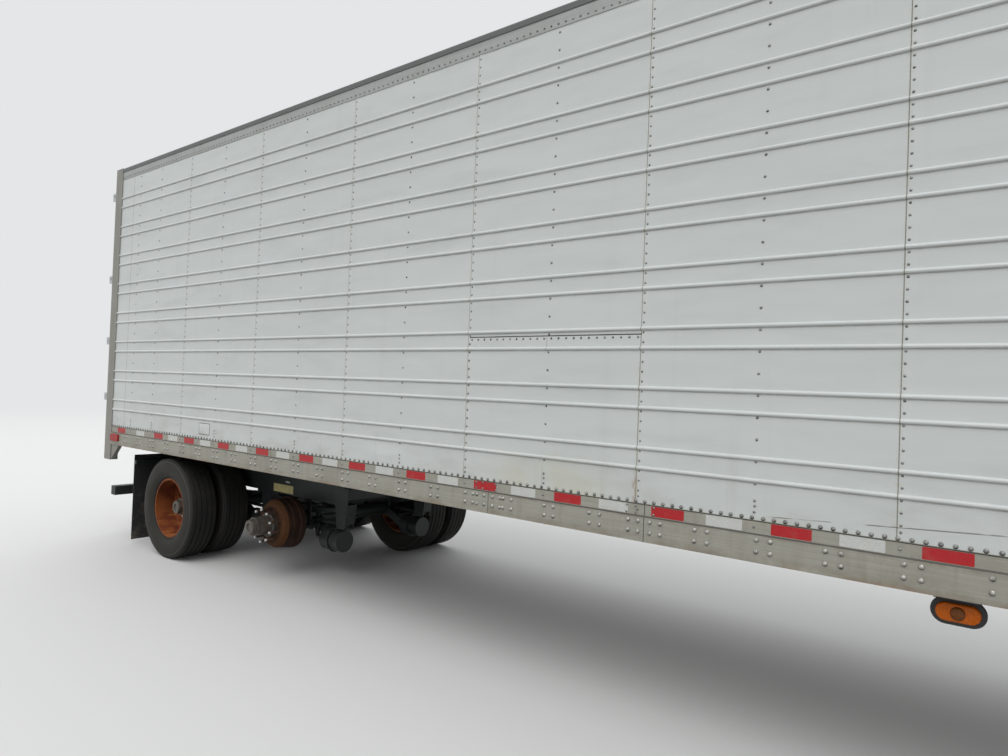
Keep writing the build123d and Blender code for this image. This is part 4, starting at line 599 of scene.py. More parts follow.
def chassis_paint():
    """Old black chassis paint under road dust, rusted through in places."""
    paint = Finish("chassis_paint")
    patches = paint.noise(5.0, 4.0, 0.6).step(0.42, 0.75)
    settled = paint.upward().step(0.2, 0.9)
    dust = (patches * 0.35 + settled * 0.45) * 0.55
    rust = paint.noise(9.0, 6.0, 0.65).step(0.56, 0.68)
    fine = paint.noise(70.0, 3.0, 0.6)
    painted = paint.shade(CHASSIS_PAINT, 0.7 + fine * 0.6)
    colour = paint.layers(painted, (rust * 0.45, DARK_RUST), (dust * 0.6, tint(0.105, 0.092, 0.076)))
    paint.bump(fine, 0.0006, 0.4)
    paint.bump(rust, 0.0010, 0.4)
    return paint.done(colour, 0.48 + dust * 0.4 + rust * 0.25)


def greasy_steel():
    """Bright worn steel with smears of old grease."""
    steel = Finish("greasy_steel")
    smears = steel.noise(22.0, 4.0, 0.6).step(0.42, 0.66)
    colour = steel.mix(smears, tint(0.42, 0.40, 0.38), tint(0.045, 0.036, 0.028))
    return steel.done(colour, 0.26 + smears * 0.25, 0.95 - smears * 0.7)


def from_axle(finish):
    """How far a place is from the centre line of the nearer axle."""
    sideways = (finish.axis("X") - AXLE_MIDDLE).abs() - AXLE_SPREAD
    upwards = finish.axis("Z") - AXLE_HEIGHT
    return (sideways * sideways + upwards * upwards) ** 0.5


def tyre_rubber():
    """Faded rubber: grey sidewalls with fine rings, a blacker tread and brown dust."""
    rubber = Finish("tyre_rubber", {"Specular IOR Level": 0.30})
    radius = from_axle(rubber)
    dust = rubber.noise(7.0, 5.0, 0.65).step(0.38, 0.75)
    scuffs = rubber.noise(24.0, 4.0, 0.6).step(0.52, 0.72)
    fine = rubber.noise(260.0, 3.0, 0.6)
    tread = radius.step(TREAD_EDGE - 0.002, TREAD_EDGE + 0.008)
    rings = radius.folded(0.0065).step(0.0012, 0.0004) * radius.step(TREAD_EDGE - 0.036, TREAD_EDGE - 0.046)
    worn_edge = (radius - TREAD_EDGE).abs().step(0.008, 0.001)
    colour = rubber.layers(
        rubber.shade(TYRE_GREY, 0.80 + fine * 0.4),
        (dust * 0.38 + scuffs * 0.10, TYRE_DUST),
        (worn_edge * 0.40, tint(0.120, 0.120, 0.120)),
        (tread * 0.85, rubber.mix(dust * 0.35, TYRE_BLACK, TYRE_DUST)),
    )
    rubber.bump(fine, 0.0005, 0.5)
    rubber.bump(scuffs, 0.0006, 0.3)
    rubber.bump(rings, 0.0008, 0.4)
    return rubber.done(colour, 0.66 + dust * 0.2)


def rusty_wheel():
    """Disc wheels rusted orange all over, deeper and redder in places, brown at the lips."""
    wheel = Finish("rusty_wheel", {"Specular IOR Level": 0.20})
    broad = wheel.noise(5.0, 4.0, 0.6, distortion=0.8)
    medium = wheel.noise(22.0, 5.0, 0.65)
    fine = wheel.noise(140.0, 3.0, 0.6)
    streaks = wheel.noise(26.0, 4.0, 0.6, (1, 0.12, 1))
    colour = wheel.layers(
        wheel.mix(broad.step(0.38, 0.64), ORANGE_RUST, RED_RUST),
        (broad.step(0.60, 0.74) * 0.8, BROWN_RUST),
        (streaks.step(0.50, 0.70) * 0.70, PALE_RUST),
        (medium.step(0.56, 0.74) * 0.60, BROWN_RUST),
        (fine.step(0.56, 0.75) * 0.5, DARK_RUST),
        (from_axle(wheel).step(RIM_LIP, RIM_LIP + 0.007) * 0.75, tint(0.075, 0.052, 0.040)),
    )
    wheel.bump(medium, 0.0016, 0.5)
    wheel.bump(fine, 0.0006, 0.6)
    return wheel.done(colour, 0.66 + fine * 0.25)


def rusty_drum():
    """Cast iron drums in dark brown rust, orange where the wheels sat and along the outer edge."""
    drum = Finish("rusty_drum", {"Specular IOR Level": 0.20})
    broad = drum.noise(9.0, 4.0, 0.6)
    fine = drum.noise(110.0, 4.0, 0.65)
    face = drum.axis("Y").abs().step(DRUM_FACE - 0.060, DRUM_FACE - 0.040)
    seat_band = from_axle(drum).step(*WHEEL_SEAT) * face
    colour = drum.layers(
        drum.mix(broad.step(0.35, 0.65), tint(0.048, 0.024, 0.015), tint(0.026, 0.014, 0.010)),
        (face * 0.75, tint(0.050, 0.023, 0.011)),
        (seat_band * fine.step(0.36, 0.58) * 0.65, tint(0.140, 0.055, 0.018)),
        (fine.step(0.55, 0.75) * 0.6, DARK_RUST),
    )
    drum.bump(fine, 0.0009, 0.6)
    return drum.done(colour, 0.62 + fine * 0.3, 0.10)


def cast_hub():
    """The hubs: dull cast metal with rust between the studs, and bright thread at their tips."""
    hub = Finish("cast_hub")
    across = hub.axis("Y").abs()
    grime = hub.noise(26.0, 4.0, 0.6).step(0.40, 0.66)
    rust = hub.noise(15.0, 5.0, 0.65).step(0.46, 0.62)
    fine = hub.noise(220.0, 3.0, 0.6)
    studs = from_axle(hub).step(STUD_CIRCLE, STUD_CIRCLE + 0.006)
    tips = across.step(STUD_TIP - 0.016, STUD_TIP - 0.010) * studs
    lip = across.step(HUB_LIP, HUB_LIP + 0.013)
    colour = hub.layers(
        hub.shade(tint(0.110, 0.106, 0.094), 0.75 + fine * 0.5),
        (grime * 0.55, tint(0.050, 0.042, 0.034)),
        ((rust * 0.55 + studs * 0.60).least(0.9), BROWN_RUST),
        (lip * 0.30, tint(0.200, 0.196, 0.176)),
        (tips * 0.85, tint(0.700, 0.700, 0.680)),
    )
    hub.bump(fine, 0.0006, 0.5)
    roughness = 0.42 + grime * 0.3 + rust * 0.15 - tips * 0.1
    return hub.done(colour, roughness, (0.60 - grime * 0.3 - rust * 0.2 - studs * 0.2).most(0.0))


def lamp_lens(name, colour):
    """A moulded lens with fine ribs and a dusty face."""
    lens = Finish(name, {"Coat Roughness": 0.10, "IOR": 1.49, "Specular IOR Level": 0.15})
    dust = lens.noise(20.0, 4.0, 0.6).step(0.45, 0.75)
    ribs = lens.cells(130.0)
    shaded = lens.mix(dust * 0.12, lens.shade(colour, 0.85 + ribs * 0.5), ROAD_DUST)
    lens.bump(ribs, 0.0006, 0.5)
    return lens.done(shaded, 0.26 + dust * 0.3, 0.0, 0.12 - dust * 0.1)


def flap_rubber():
    """Black moulded rubber with dried mud splashed up from its foot."""
    rubber = Finish("flap_rubber")
    low = rubber.axis("Z").step(0.75, 0.05)
    splash = rubber.noise(10.0, 6.0, 0.7).step(0.44, 0.70)
    mud = low * splash * 0.55 + splash * 0.10
    fine = rubber.noise(180.0, 2.0)
    moulded = rubber.shade(tint(0.020, 0.020, 0.021), 0.8 + fine * 0.4)
    rubber.bump(fine, 0.0005, 0.4)
    return rubber.done(rubber.mix(mud, moulded, tint(0.160, 0.135, 0.105)), 0.55 + mud * 0.4)


def moulded_white():
    """The refrigeration unit's painted covers, with grime below its louvres."""
    cover = Finish("moulded_white")
    across, height = cover.axis("Y").abs(), cover.axis("Z")
    clouds = cover.noise(3.0, 4.0)
    runs = cover.noise(14.0, 4.0, 0.6, (1, 1, 0.08)).step(0.50, 0.72)
    seams = (across - UNIT_SEAM).abs().step(0.0040, 0.0018)
    for level in UNIT_LEVELS:
        seams = seams.most((height - level).abs().step(0.0040, 0.0018))
    painted = cover.shade(tint(0.600, 0.610, 0.595), 0.93 + clouds * 0.12)
    colour = cover.layers(painted, (runs * 0.26, ROAD_DUST), (seams * 0.80, SEALANT))
    cover.bump(seams, 0.003, -0.6)
    cover.bump(cover.noise(420.0, 2.0), 0.0003, 0.3)
    return cover.done(colour, 0.36 + clouds * 0.1 + runs * 0.2)


def black_plastic():
    """Matt black moulded slats, dusty on top."""
    plastic = Finish("black_plastic")
    dust = plastic.noise(8.0, 4.0, 0.6).step(0.40, 0.75)
    fine = plastic.noise(300.0, 2.0)
    moulded = plastic.shade(tint(0.022, 0.023, 0.024), 0.8 + fine * 0.4)
    plastic.bump(fine, 0.0004, 0.4)
    return plastic.done(plastic.mix(dust * 0.28, moulded, ROAD_DUST), 0.50 + dust * 0.3)


def tank_metal():
    """Polished aluminium gone milky, with road film low down."""
    tank = Finish("tank_metal")
    film = tank.axis("Z").step(0.80, 0.45) * tank.noise(9.0, 5.0, 0.6).step(0.35, 0.70)
    milk = tank.noise(6.0, 4.0)
    polished = tank.shade(tint(0.560, 0.560, 0.550), 0.85 + milk * 0.3)
    tank.bump(tank.noise(30.0, 3.0, 0.6, (0.1, 1, 1)), 0.0005, 0.3)
    colour = tank.mix(film * 0.5, polished, ROAD_DUST)
    return tank.done(colour, 0.30 + milk * 0.15 + film * 0.35, 0.85 - film * 0.6)


def blank_label(name, colour):
    """A blank printed label: faded, scuffed and dirty at its edges."""
    label = Finish(name)
    wear = label.noise(30.0, 5.0, 0.7).step(0.50, 0.66)
    faded = label.shade(colour, 0.85 + label.noise(9.0) * 0.3)
    return label.done(label.mix(wear * 0.45, faded, ROAD_DUST), 0.5 + wear * 0.2)


# Every finish: first those named as the frame's material slots, then those of added pieces only
FINISHES = {
    "white_skin": painted_skin(),
    "rail_aluminium": rail_metal(),
    "frame_grey": frame_paint(),
    "hinge_steel": galvanised(),
    "chassis_black": chassis_paint(),
    "kingpin_steel": greasy_steel(),
    "tyre_rubber": tyre_rubber(),
    "rim_rust": rusty_wheel(),
    "drum_rust": rusty_drum(),
    "hub_grey": cast_hub(),
    "lamp_red": lamp_lens("red_lens", tint(0.290, 0.008, 0.008)),
    "lamp_amber": lamp_lens("amber_lens", tint(0.490, 0.100, 0.001)),
    "black_rubber": flap_rubber(),
    "unit_white": moulded_white(),
    "grille_black": black_plastic(),
    "tank_aluminium": tank_metal(),
    "dark_amber": lamp_lens("dark_amber_lens", tint(0.140, 0.042, 0.006)),
    "wall_rivet": rivet_metal("wall_rivet", tint(0.265, 0.262, 0.250), 0.60, 0.40),
    "rail_rivet": rivet_metal("rail_rivet", tint(0.400, 0.392, 0.360), 0.70, 0.36),
    "red": reflective_tape("red_reflective", tint(0.370, 0.009, 0.013)),
    "white": reflective_tape("white_reflective", tint(0.500, 0.502, 0.480)),
    "yellow_label": blank_label("yellow_label", tint(0.640, 0.560, 0.260)),
    "pale_label": blank_label("pale_label", tint(0.620, 0.620, 0.590)),
}


def seat(place, normal):
    """The matrix that stands a form's +Z along the normal at the place."""
    turn = Vector(normal).to_track_quat("Z", "Y").to_matrix().to_4x4()
    return Matrix.Translation(place) @ turn


def facing(place, out):
    """The matrix that turns a flat form's +Z outwards and keeps its +Y up, at the place."""
    out, up = Vector(out), Vector((0, 0, 1))
    turn = Matrix((up.cross(out), up, out)).transposed()
    return Matrix.Translation(place) @ turn.to_4x4()


def side_face(x, across, z, side):
    """The place and facing of a flat form on one side of the trailer."""
    return facing((x, side * across, z), (0, side, 0))


class Heap:
    """Points and faces of many small forms that become one piece."""

    def __init__(self):
        self.points = []
        self.faces = []

    def add(self, form, placing=None):
        """Adds a form, given as its points and faces, where the matrix puts it."""
        points, faces = form
        start = len(self.points)
        for point in points:
            self.points.append(placing @ Vector(point) if placing else Vector(point))
        for face in faces:
            self.faces.append([start + index for index in face])

    def drive(self, head, surface, start, outward, squareness=0.95):
        """Stands a head where the line inwards from the start meets the surface squarely."""
        outward = Vector(outward)
        place, normal = surface.meet(start, -outward)
        if place and abs(normal.dot(outward)) > squareness:
            self.add(head, seat(place, outward))

    def piece(self, name, body, slot, finish=None, smooth_angle=40):
        """Makes the joined mesh, in its slot's finish or a named one, and lets it ride on its body."""
        mesh = bpy.data.meshes.new(name)
        mesh.from_pydata(self.points, [], self.faces)
        work = bmesh.new()
        work.from_mesh(mesh)
        bmesh.ops.remove_doubles(work, verts=work.verts, dist=1e-6)
        bmesh.ops.recalc_face_normals(work, faces=work.faces)
        work.to_mesh(mesh)
        work.free()
        mesh.shade_smooth()
        mesh.set_sharp_from_angle(angle=math.radians(smooth_angle))
        mesh.materials.append(FINISHES[finish or slot])
        made = bpy.data.objects.new(name, mesh)
        bpy.context.scene.collection.objects.link(made)
        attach(made, body)
        return made


class Surface:
    """The outside of some nodes, asked where a straight line meets it first."""

    def __init__(self, *names):
        points = []
        faces = []
        for name in names:
            mesh = frame["nodes"][name].data
            start = len(points)
            points += [vertex.co.copy() for vertex in mesh.vertices]
            faces += [[start + index for index in face.vertices] for face in mesh.polygons]
        self.tree = BVHTree.FromPolygons(points, faces)

    def meet(self, start, direction):
        """The place and the normal there, both None where the line meets nothing."""
        return self.tree.ray_cast(Vector(start), Vector(direction))[:2]


def stacked(rings, apex=None):
    """Rings of equally many points joined in turn, closed at the last by a face or an apex."""
    count = len(rings[0])
    points = [point for ring in rings for point in ring]
    last = len(points) - count
    faces = [list(range(count))]
    for low in range(0, last, count):
        for step in range(count):
            after = (step + 1) % count
            faces.append([low + step, low + after, low + count + after, low + count + step])
    if apex:
        faces += [[last + step, last + (step + 1) % count, len(points)] for step in range(count)]
        points.append(apex)
    else:
        faces.append(list(range(last, last + count)))
    return points, faces


def circle(radius, height, sides, flats=1.0):
    """A ring of points about the Z axis; a share in flats draws every other point inwards."""
    points = []
    for step in range(sides):
        angle = math.tau * step / sides
        reach = radius * flats if step % 2 else radius
        points.append((reach * math.cos(angle), reach * math.sin(angle), height))
    return points


def plate(length, height, depth, corner, bevel=0.0, steps=5):
    """A round cornered plate that stands on the origin along +Z, its front edge bevelled."""
    sections = [(0.0, 0.0), (0.0, depth - bevel)]
    if bevel:
        sections += [(bevel * 0.3, depth - bevel * 0.3), (bevel, depth)]
    rings = []
    for inset, rise in sections:
        ring = []
        for right, top, begin in ((1, 1, 0), (-1, 1, 90), (-1, -1, 180), (1, -1, 270)):
            for step in range(steps + 1):
                angle = math.radians(begin + 90 * step / steps)
                x = right * (length / 2 - corner) + (corner - inset) * math.cos(angle)
                y = top * (height / 2 - corner) + (corner - inset) * math.sin(angle)
                ring.append((x, y, rise))
        rings.append(ring)
    return stacked(rings)


def oval(length, height, depth, bevel):
    """A plate whose shorter ends are round."""
    return plate(length, height, depth, min(length, height) / 2 - 0.001, bevel, steps=8)


def dome(radius, height, sides=8):
    """A rivet head that stands on the origin along +Z."""
    sections = ((1.0, -0.15), (0.96, 0.30), (0.62, 0.82))
    rings = [circle(radius * share, height * rise, sides) for share, rise in sections]
    return stacked(rings, (0, 0, height))


def bolt_head(radius, height):
    """A six sided bolt head with a chamfered top on a thin washer, along +Z."""
    flat = math.cos(math.pi / 6)
    washer = ((1.45, -0.1, 1.0), (1.45, 0.16, 1.0))
    hexagon = ((1.0, 0.16, flat), (1.0, 0.9, flat), (0.86, 1.0, flat))
    sections = washer + hexagon
    return stacked([circle(radius * share, height * rise, 12, flats) for share, rise, flats in sections])


def block(corner, opposite, bevel=0.0):
    """A block between two corners, its four edges along the longest side cut by the bevel."""
    ends = [sorted(pair) for pair in zip(corner, opposite)]
    longest, first, second = sorted(range(3), key=lambda number: ends[number][0] - ends[number][1])
    first, second = sorted((first, second))
    outline = []
    for number, (u, v) in enumerate(((0, 0), (1, 0), (1, 1), (0, 1))):
        cuts = ((0, bevel), (bevel, 0)) if number % 2 == 0 else ((bevel, 0), (0, bevel))
        for inwards, upwards in cuts if bevel else ((0, 0),):
            place = ends[first][u] + (1 - 2 * u) * inwards, ends[second][v] + (1 - 2 * v) * upwards
            outline.append(place)
    rings = []
    for end in ends[longest]:
        ring = []
        for u, v in outline:
            point = [0.0, 0.0, 0.0]
            point[longest], point[first], point[second] = end, u, v
            ring.append(point)
        rings.append(ring)
    return stacked(rings)


def turned(outline, centre, sides, axis="Y"):
    """A closed outline of (along, radius) pairs turned about an axis through the centre."""
    points = []
    faces = []
    count = len(outline)
    for step in range(sides):
        angle = math.tau * step / sides
        for along, radius in outline:
            u, v = radius * math.cos(angle), radius * math.sin(angle)
            offset = {"X": (along, u, v), "Y": (u, along, v)}[axis]
            points.append(Vector(centre) + Vector(offset))
    for step in range(sides):
        here, there = step * count, (step + 1) % sides * count
        for index in range(count):
            after = (index + 1) % count
            faces.append([here + index, here + after, there + after, there + index])
    return points, faces


def posts(first, last):
    """Where the wall's posts from one number to another are, counted from the mid length joint."""
    return [REAR + JOINT_FROM_REAR + step * POST_PITCH for step in range(first, last + 1)]


def post_lines():
    """The wall's upright rivet lines: their place along X, and whether two sheets meet there."""
    places = posts(-POSTS_BEHIND, POSTS_AHEAD)
    joints = [(x, (step - POSTS_BEHIND) % 2 == 0) for step, x in enumerate(places)]
    return [(REAR + END_POST, False)] + joints


def bead_heights():
    """The middle height of every bead on the walls, from the foot up."""
    heights = []
    for pair in range(BEAD_PAIRS):
        for gap in (0, BEAD_GAP):
            heights.append(rail_low.z + FIRST_BEAD + pair * BEAD_PERIOD + gap + BEAD_WIDTH / 2)
    return heights


def bead_rise(height):
    """How far the skin stands out at a height: a near half round at each bead."""
    radius = ((BEAD_WIDTH / 2) ** 2 + BEAD_PROUD**2) / (2 * BEAD_PROUD)
    for middle in bead_heights():
        off = abs(height - middle)
        if off < BEAD_WIDTH / 2:
            return math.sqrt(radius**2 - off**2) - (radius - BEAD_PROUD)
    return 0.0


def spaced(low, high, pitch):
    """Places from low to high, as near to the pitch as fits evenly."""
    count = max(1, round((high - low) / pitch))
    return [low + (high - low) * step / count for step in range(count + 1)]


def wall_rivets(name, side, surface):
    """The rivets of one side wall: its sheet joints, posts, foot row and the top rail's row."""
    heap = Heap()
    small = dome(*WALL_RIVET)
    large = dome(*FOOT_RIVET, sides=10)
    draw = random.Random(name)

    def drive(x, z, head=small):
        start = (x + draw.uniform(-RIVET_PLAY, RIVET_PLAY), side * BESIDE, z)
        heap.drive(head, surface, start, (0, side, 0), 0.9)

    for x, joint in post_lines():
        pitch = JOINT_RIVET_PITCH if joint else POST_RIVET_PITCH
        for z in spaced(wall_low.z + COLUMN_FOOT, wall_high.z - COLUMN_TOP, pitch):
            drive(x, z)
        drive(x, wall_low.z + LOWEST_RIVET)
        drive(x, rail_low.z + TAPE_ROW)
        if not joint:
            drive(x, wall_low.z + EXTRA_POST_RIVET)
    for x in spaced(wall_low.x + ROW_END, wall_high.x - ROW_END, FOOT_RIVET_PITCH):
        drive(x, wall_low.z + FOOT_ROW, large)
        drive(x, wall_high.z + TOP_ROW)
    for place in RAIL_SPLICES:
        for column in TAPE_SPLICE_COLUMNS:
            for height in TAPE_SPLICE_ROWS:
                drive(REAR + place + column, rail_low.z + height)
    if side < 0:
        for x in spaced(patch_low.x + ROW_END, patch_high.x - ROW_END, FOOT_RIVET_PITCH):
            drive(x, patch_high.z - PATCH_ROW)
    heap.piece(f"wall_rivets_{name}", "van", "white_skin", "wall_rivet")


def rail_rivets(name, side, surface):
    """The big domed rivets of one lower rail, in pairs at each cross member."""
    heap = Heap()
    head = dome(*RAIL_RIVET, sides=12)
    columns = [post + offset for post in posts(-POSTS_BEHIND - 1, POSTS_AHEAD) for offset in RAIL_COLUMNS]
    for place in RAIL_SPLICES:
        columns = [x for x in columns if abs(x - REAR - place) > SPLICE_REACH]
        columns += [REAR + place + offset for offset in SPLICE_COLUMNS]
    for x in columns:
        if rail_low.x + ROW_END < x < rail_high.x - ROW_END:
            for row in RAIL_ROWS:
                heap.drive(head, surface, (x, side * BESIDE, rail_low.z + row), (0, side, 0))
    heap.piece(f"rail_rivets_{name}", "van", "rail_aluminium", "rail_rivet")


def sheet_laps(name, side):
    """Where two wall sheets meet, the front one laps the other and its edge stands proud."""
    heap = Heap()
    heights = [wall_low.z + 0.001, wall_high.z - 0.001]
    for middle in bead_heights():
        for share in (-1.0, -0.93, -0.6, 0.0, 0.6, 0.93, 1.0):
            heights.append(middle + share * BEAD_WIDTH / 2)
    heights.sort()
    strip = ((-LAP_EDGE, -LAP_SUNK), (-LAP_EDGE, LAP_PROUD), (LAP_STEP, LAP_PROUD), (LAP_REACH, -LAP_SUNK))
    for x, joint in post_lines():
        if joint:
            rings = []
            for z in heights:
                face = SKIN + bead_rise(z)
                rings.append([(x + along, side * (face + proud), z) for along, proud in strip])
            heap.add(stacked(rings))
    heap.piece(f"sheet_laps_{name}", "van", "white_skin", smooth_angle=25)


def tape(pattern, body, slot, marks):
    """A red and a white piece of tape, from marks that are each a colour and a placing."""
    strip = plate(TAPE_LENGTH, TAPE_HIGH - TAPE_LOW, TAPE_THICKNESS, 0.004, steps=3)
    for colour in ("red", "white"):
        heap = Heap()
        for mark_colour, placing in marks:
            if mark_colour == colour:
                heap.add(strip, placing)
        heap.piece(pattern.format(colour), body, slot, colour)


def side_tape(name, side):
    """Red and white tape in turn along one lower rail, one pair to each post."""
    middle = rail_low.z + (TAPE_LOW + TAPE_HIGH) / 2
    face = HALF_WIDTH - RAIL_SETBACK - SUNK
    starts = [("red", REAR + END_RED), ("white", REAR + END_WHITE)]
    for post in posts(-POSTS_BEHIND, POSTS_AHEAD):
        starts += [("red", post + RED_START), ("white", post + WHITE_START)]
    marks = []
    for colour, start in starts:
        if start + TAPE_LENGTH < rail_high.x - 0.01:
            marks.append((colour, side_face(start + TAPE_LENGTH / 2, face, middle, side)))
    tape("{}_tape_" + name, "van", "rail_aluminium", marks)


def small_plates():
    """Flat pieces on the right side: sealant over the repair sheet, a small sheet, blank labels."""
    for name, form, place, body, slot, finish in (
        (
            "patch_sealant",
            plate(PATCH_LENGTH + 0.004, 0.0064, 0.0040, 0.0030, 0.0015, steps=2),
            (PATCH_MIDDLE, SKIN - 0.0006, patch_high.z + 0.0005),
            "van", "grille_black", None,
        ),
        (
            "wall_sheet_sealant",
            plate(0.190, 0.108, 0.0006, 0.010),
            WALL_SHEET,
            "van", "grille_black", None,
        ),
        (
            "wall_sheet",
            plate(0.180, 0.098, 0.0014, 0.006, 0.0004),
            WALL_SHEET,
            "van", "white_skin", None,
        ),
        (
            "slider_label",
            plate(0.325, 0.078, 0.0010, 0.004),
            (-5.937, SLIDER_WEB - SUNK, 0.742),
            "tandem", "chassis_black", "yellow_label",
        ),
        (
            "slider_mark",
            plate(0.066, 0.014, 0.0010, 0.003),
            (-5.865, SLIDER_WEB - SUNK, 0.812),
            "tandem", "chassis_black", "pale_label",
        ),
    ):
        heap = Heap()
        heap.add(form, side_face(*place, -1))
        heap.piece(name, body, slot, finish)


def turn_lamps():
    """Crowned lenses for the amber lamps, and the dark housings of the mid length pair."""
    lenses, domes, housings = Heap(), Heap(), Heap()
    x, across, z = TURN_LAMP
    behind = across - TURN_HOUSING[2]
    back, front = x - TURN_BRACKET, x + TURN_BRACKET
    for side in SIDES.values():
        lenses.add(oval(*TURN_LENS, 0.007), side_face(x, across, z, side))
        domes.add(oval(*TURN_DOME, 0.012), side_face(x, across + TURN_LENS[2] - 0.001, z, side))
        housings.add(oval(*TURN_HOUSING, 0.004), side_face(x, behind, z, side))
        outer = behind + BRACKET_THICKNESS
        housings.add(block((back, side * behind, z), (front, side * outer, rail_low.z)))
        outer = HALF_WIDTH - 0.010
        foot = rail_low.z - 0.006
        housings.add(block((back, side * behind, foot), (front, side * outer, rail_low.z)))
        marker_x, marker_z = FRONT_MARKER
        marker = plate(*MARKER_SIZE, LAMP_PROUD, 0.012, 0.006)
        lenses.add(marker, side_face(marker_x, HALF_WIDTH, marker_z, side))
        nose_x, nose_y, nose_z = NOSE_LAMP
        nose = plate(*NOSE_LAMP_SIZE, LAMP_PROUD, 0.017, 0.005)
        lenses.add(nose, facing((nose_x, side * nose_y, nose_z), (1, 0, 0)))
    made = lenses.piece("amber_lenses", "van", "lamp_amber", smooth_angle=50)
    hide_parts("amber_lamps")
    domes.piece("turn_lamp_domes", "van", "lamp_amber", "dark_amber", 50)
    made = housings.piece("turn_lamp_housings", "van", "black_rubber", smooth_angle=35)
    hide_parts("lamp_housings")


def rear_tape():
    """Red and white tape in turn across the guard's bar, and low down on both doors."""
    marks = []
    for number, y in enumerate(spaced(-GUARD_TAPE_END, GUARD_TAPE_END, GUARD_TAPE_PITCH)):
        placing = facing((GUARD_FACE + SUNK, y, GUARD_TAPE), (-1, 0, 0))
        marks.append((("red", "white")[number % 2], placing))
    tape("guard_tape_{}", "van", "chassis_black", marks)
    for name, side in SIDES.items():
        marks = []
        for colour, y in DOOR_TAPES:
            marks.append((colour, facing((REAR + SUNK, side * y, DOOR_TAPE), (-1, 0, 0))))
        tape("door_tape_{}_" + name, f"door_{name}", "white_skin", marks)


def door_seals():
    """The black rubber seal round the outer face of each door, just proud of it."""
    inner, outer = SEAL_ACROSS
    low, high = SEAL_UP
    spans = (
        ((inner, low), (inner + SEAL_WIDTH, high)),
        ((outer - SEAL_WIDTH, low), (outer, high)),
        ((inner + SEAL_WIDTH, low), (outer - SEAL_WIDTH, low + SEAL_WIDTH)),
        ((inner + SEAL_WIDTH, high - SEAL_WIDTH), (outer - SEAL_WIDTH, high)),
    )
    front, back = (REAR + out for out in SEAL_OUT)
    for name, side in SIDES.items():
        heap = Heap()
        for (near, bottom), (far, top) in spans:
            heap.add(block((front, side * near, bottom), (back, side * far, top), 0.002))
        heap.piece(f"door_seal_{name}", f"door_{name}", "black_rubber")


def door_bolts():
    """Bolts through the hinge straps, and rivets in the lock rods' guides."""
    head = bolt_head(*HINGE_BOLT)
    small = dome(*GUIDE_RIVET)
    for name, side in SIDES.items():
        surface = Surface(f"door_hardware_{name}")
        heap = Heap()
        for height in HINGE_HEIGHTS:
            for y in HINGE_BOLTS:
                heap.drive(head, surface, (BEHIND, side * y, height), (-1, 0, 0))
        for y in ROD_PLACES:
            for height in GUIDE_HEIGHTS:
                for rise in (-GUIDE_RIVET_RISE, GUIDE_RIVET_RISE):
                    heap.drive(small, surface, (BEHIND, side * y, height + rise), (-1, 0, 0))
        heap.piece(f"door_bolts_{name}", f"door_{name}", "hinge_steel")


def tail_lamp_rings():
    """Rubber grommets round the four tail lamps."""
    section = []
    for step in range(8):
        angle = math.tau * step / 8
        away = GROMMET_RADIUS + GROMMET_THICKNESS * math.sin(angle)
        section.append((GROMMET_THICKNESS * math.cos(angle), away))
    heap = Heap()
    for side in SIDES.values():
        for y in TAIL_LAMPS:
            heap.add(turned(section, (REAR - 0.004, side * y, TAIL_LAMP_HEIGHT), 40, "X"))
    heap.piece("tail_lamp_grommets", "van", "black_rubber")


def nose_rivets():
    """Rivets round the bulkhead and along the roof's edges."""
    wall = Surface("front_wall")
    roof = Surface("roof", "top_rails")
    heap = Heap()
    head = dome(*WALL_RIVET, sides=6)
    for side in SIDES.values():
        for z in spaced(*NOSE_SPAN, JOINT_RIVET_PITCH * 2):
            heap.drive(head, wall, (AHEAD, side * NOSE_COLUMN, z), (1, 0, 0))
        for x in spaced(*ROOF_SPAN, FOOT_RIVET_PITCH * 2):
            heap.drive(head, roof, (x, side * ROOF_COLUMN, ABOVE), (0, 0, 1))
    for z in NOSE_ROWS:
        for y in spaced(-NOSE_ROW_END, NOSE_ROW_END, FOOT_RIVET_PITCH * 2):
            heap.drive(head, wall, (AHEAD, y, z), (1, 0, 0))
    heap.piece("nose_and_roof_rivets", "van", "white_skin", "wall_rivet")


def unit_screws():
    """Black screws along the seams of the refrigeration unit's covers."""
    surface = Surface("refrigeration_unit")
    heap = Heap()
    head = bolt_head(*UNIT_SCREW)
    beside_seam = (-SCREW_OFF_SEAM, SCREW_OFF_SEAM)
    for side in SIDES.values():
        for z in FRONT_SCREWS:
            for off in beside_seam:
                heap.drive(head, surface, (AHEAD, side * (UNIT_SEAM + off), z), (1, 0, 0))
        for x in SIDE_SCREW_COLUMNS:
            for z in SIDE_SCREWS:
                heap.drive(head, surface, (x, side * BESIDE, z), (0, side, 0))
    for y in spaced(-LEVEL_SCREW_END, LEVEL_SCREW_END, LEVEL_SCREW_PITCH):
        for off in beside_seam:
            heap.drive(head, surface, (AHEAD, y, UNIT_LEVELS[1] + off), (1, 0, 0))
    heap.piece("unit_screws", "van", "grille_black")


def tyre_outline(radius):
    """The section of a tyre round its middle, as (along the axle, from the axle) pairs."""
    crown = [(-TREAD_HALF, radius - TREAD_DROP)]
    for place in GROOVES:
        for along, depth in ((-0.50, 0.0), (-0.35, GROOVE_DEPTH), (0.35, GROOVE_DEPTH), (0.50, 0.0)):
            crown.append((place + along * GROOVE_WIDTH, radius - depth))
    crown.append((TREAD_HALF, radius - TREAD_DROP))
    wall = [(along, radius - drop) for along, drop in SIDEWALL]
    return crown + wall + [(-along, out) for along, out in reversed(wall)]


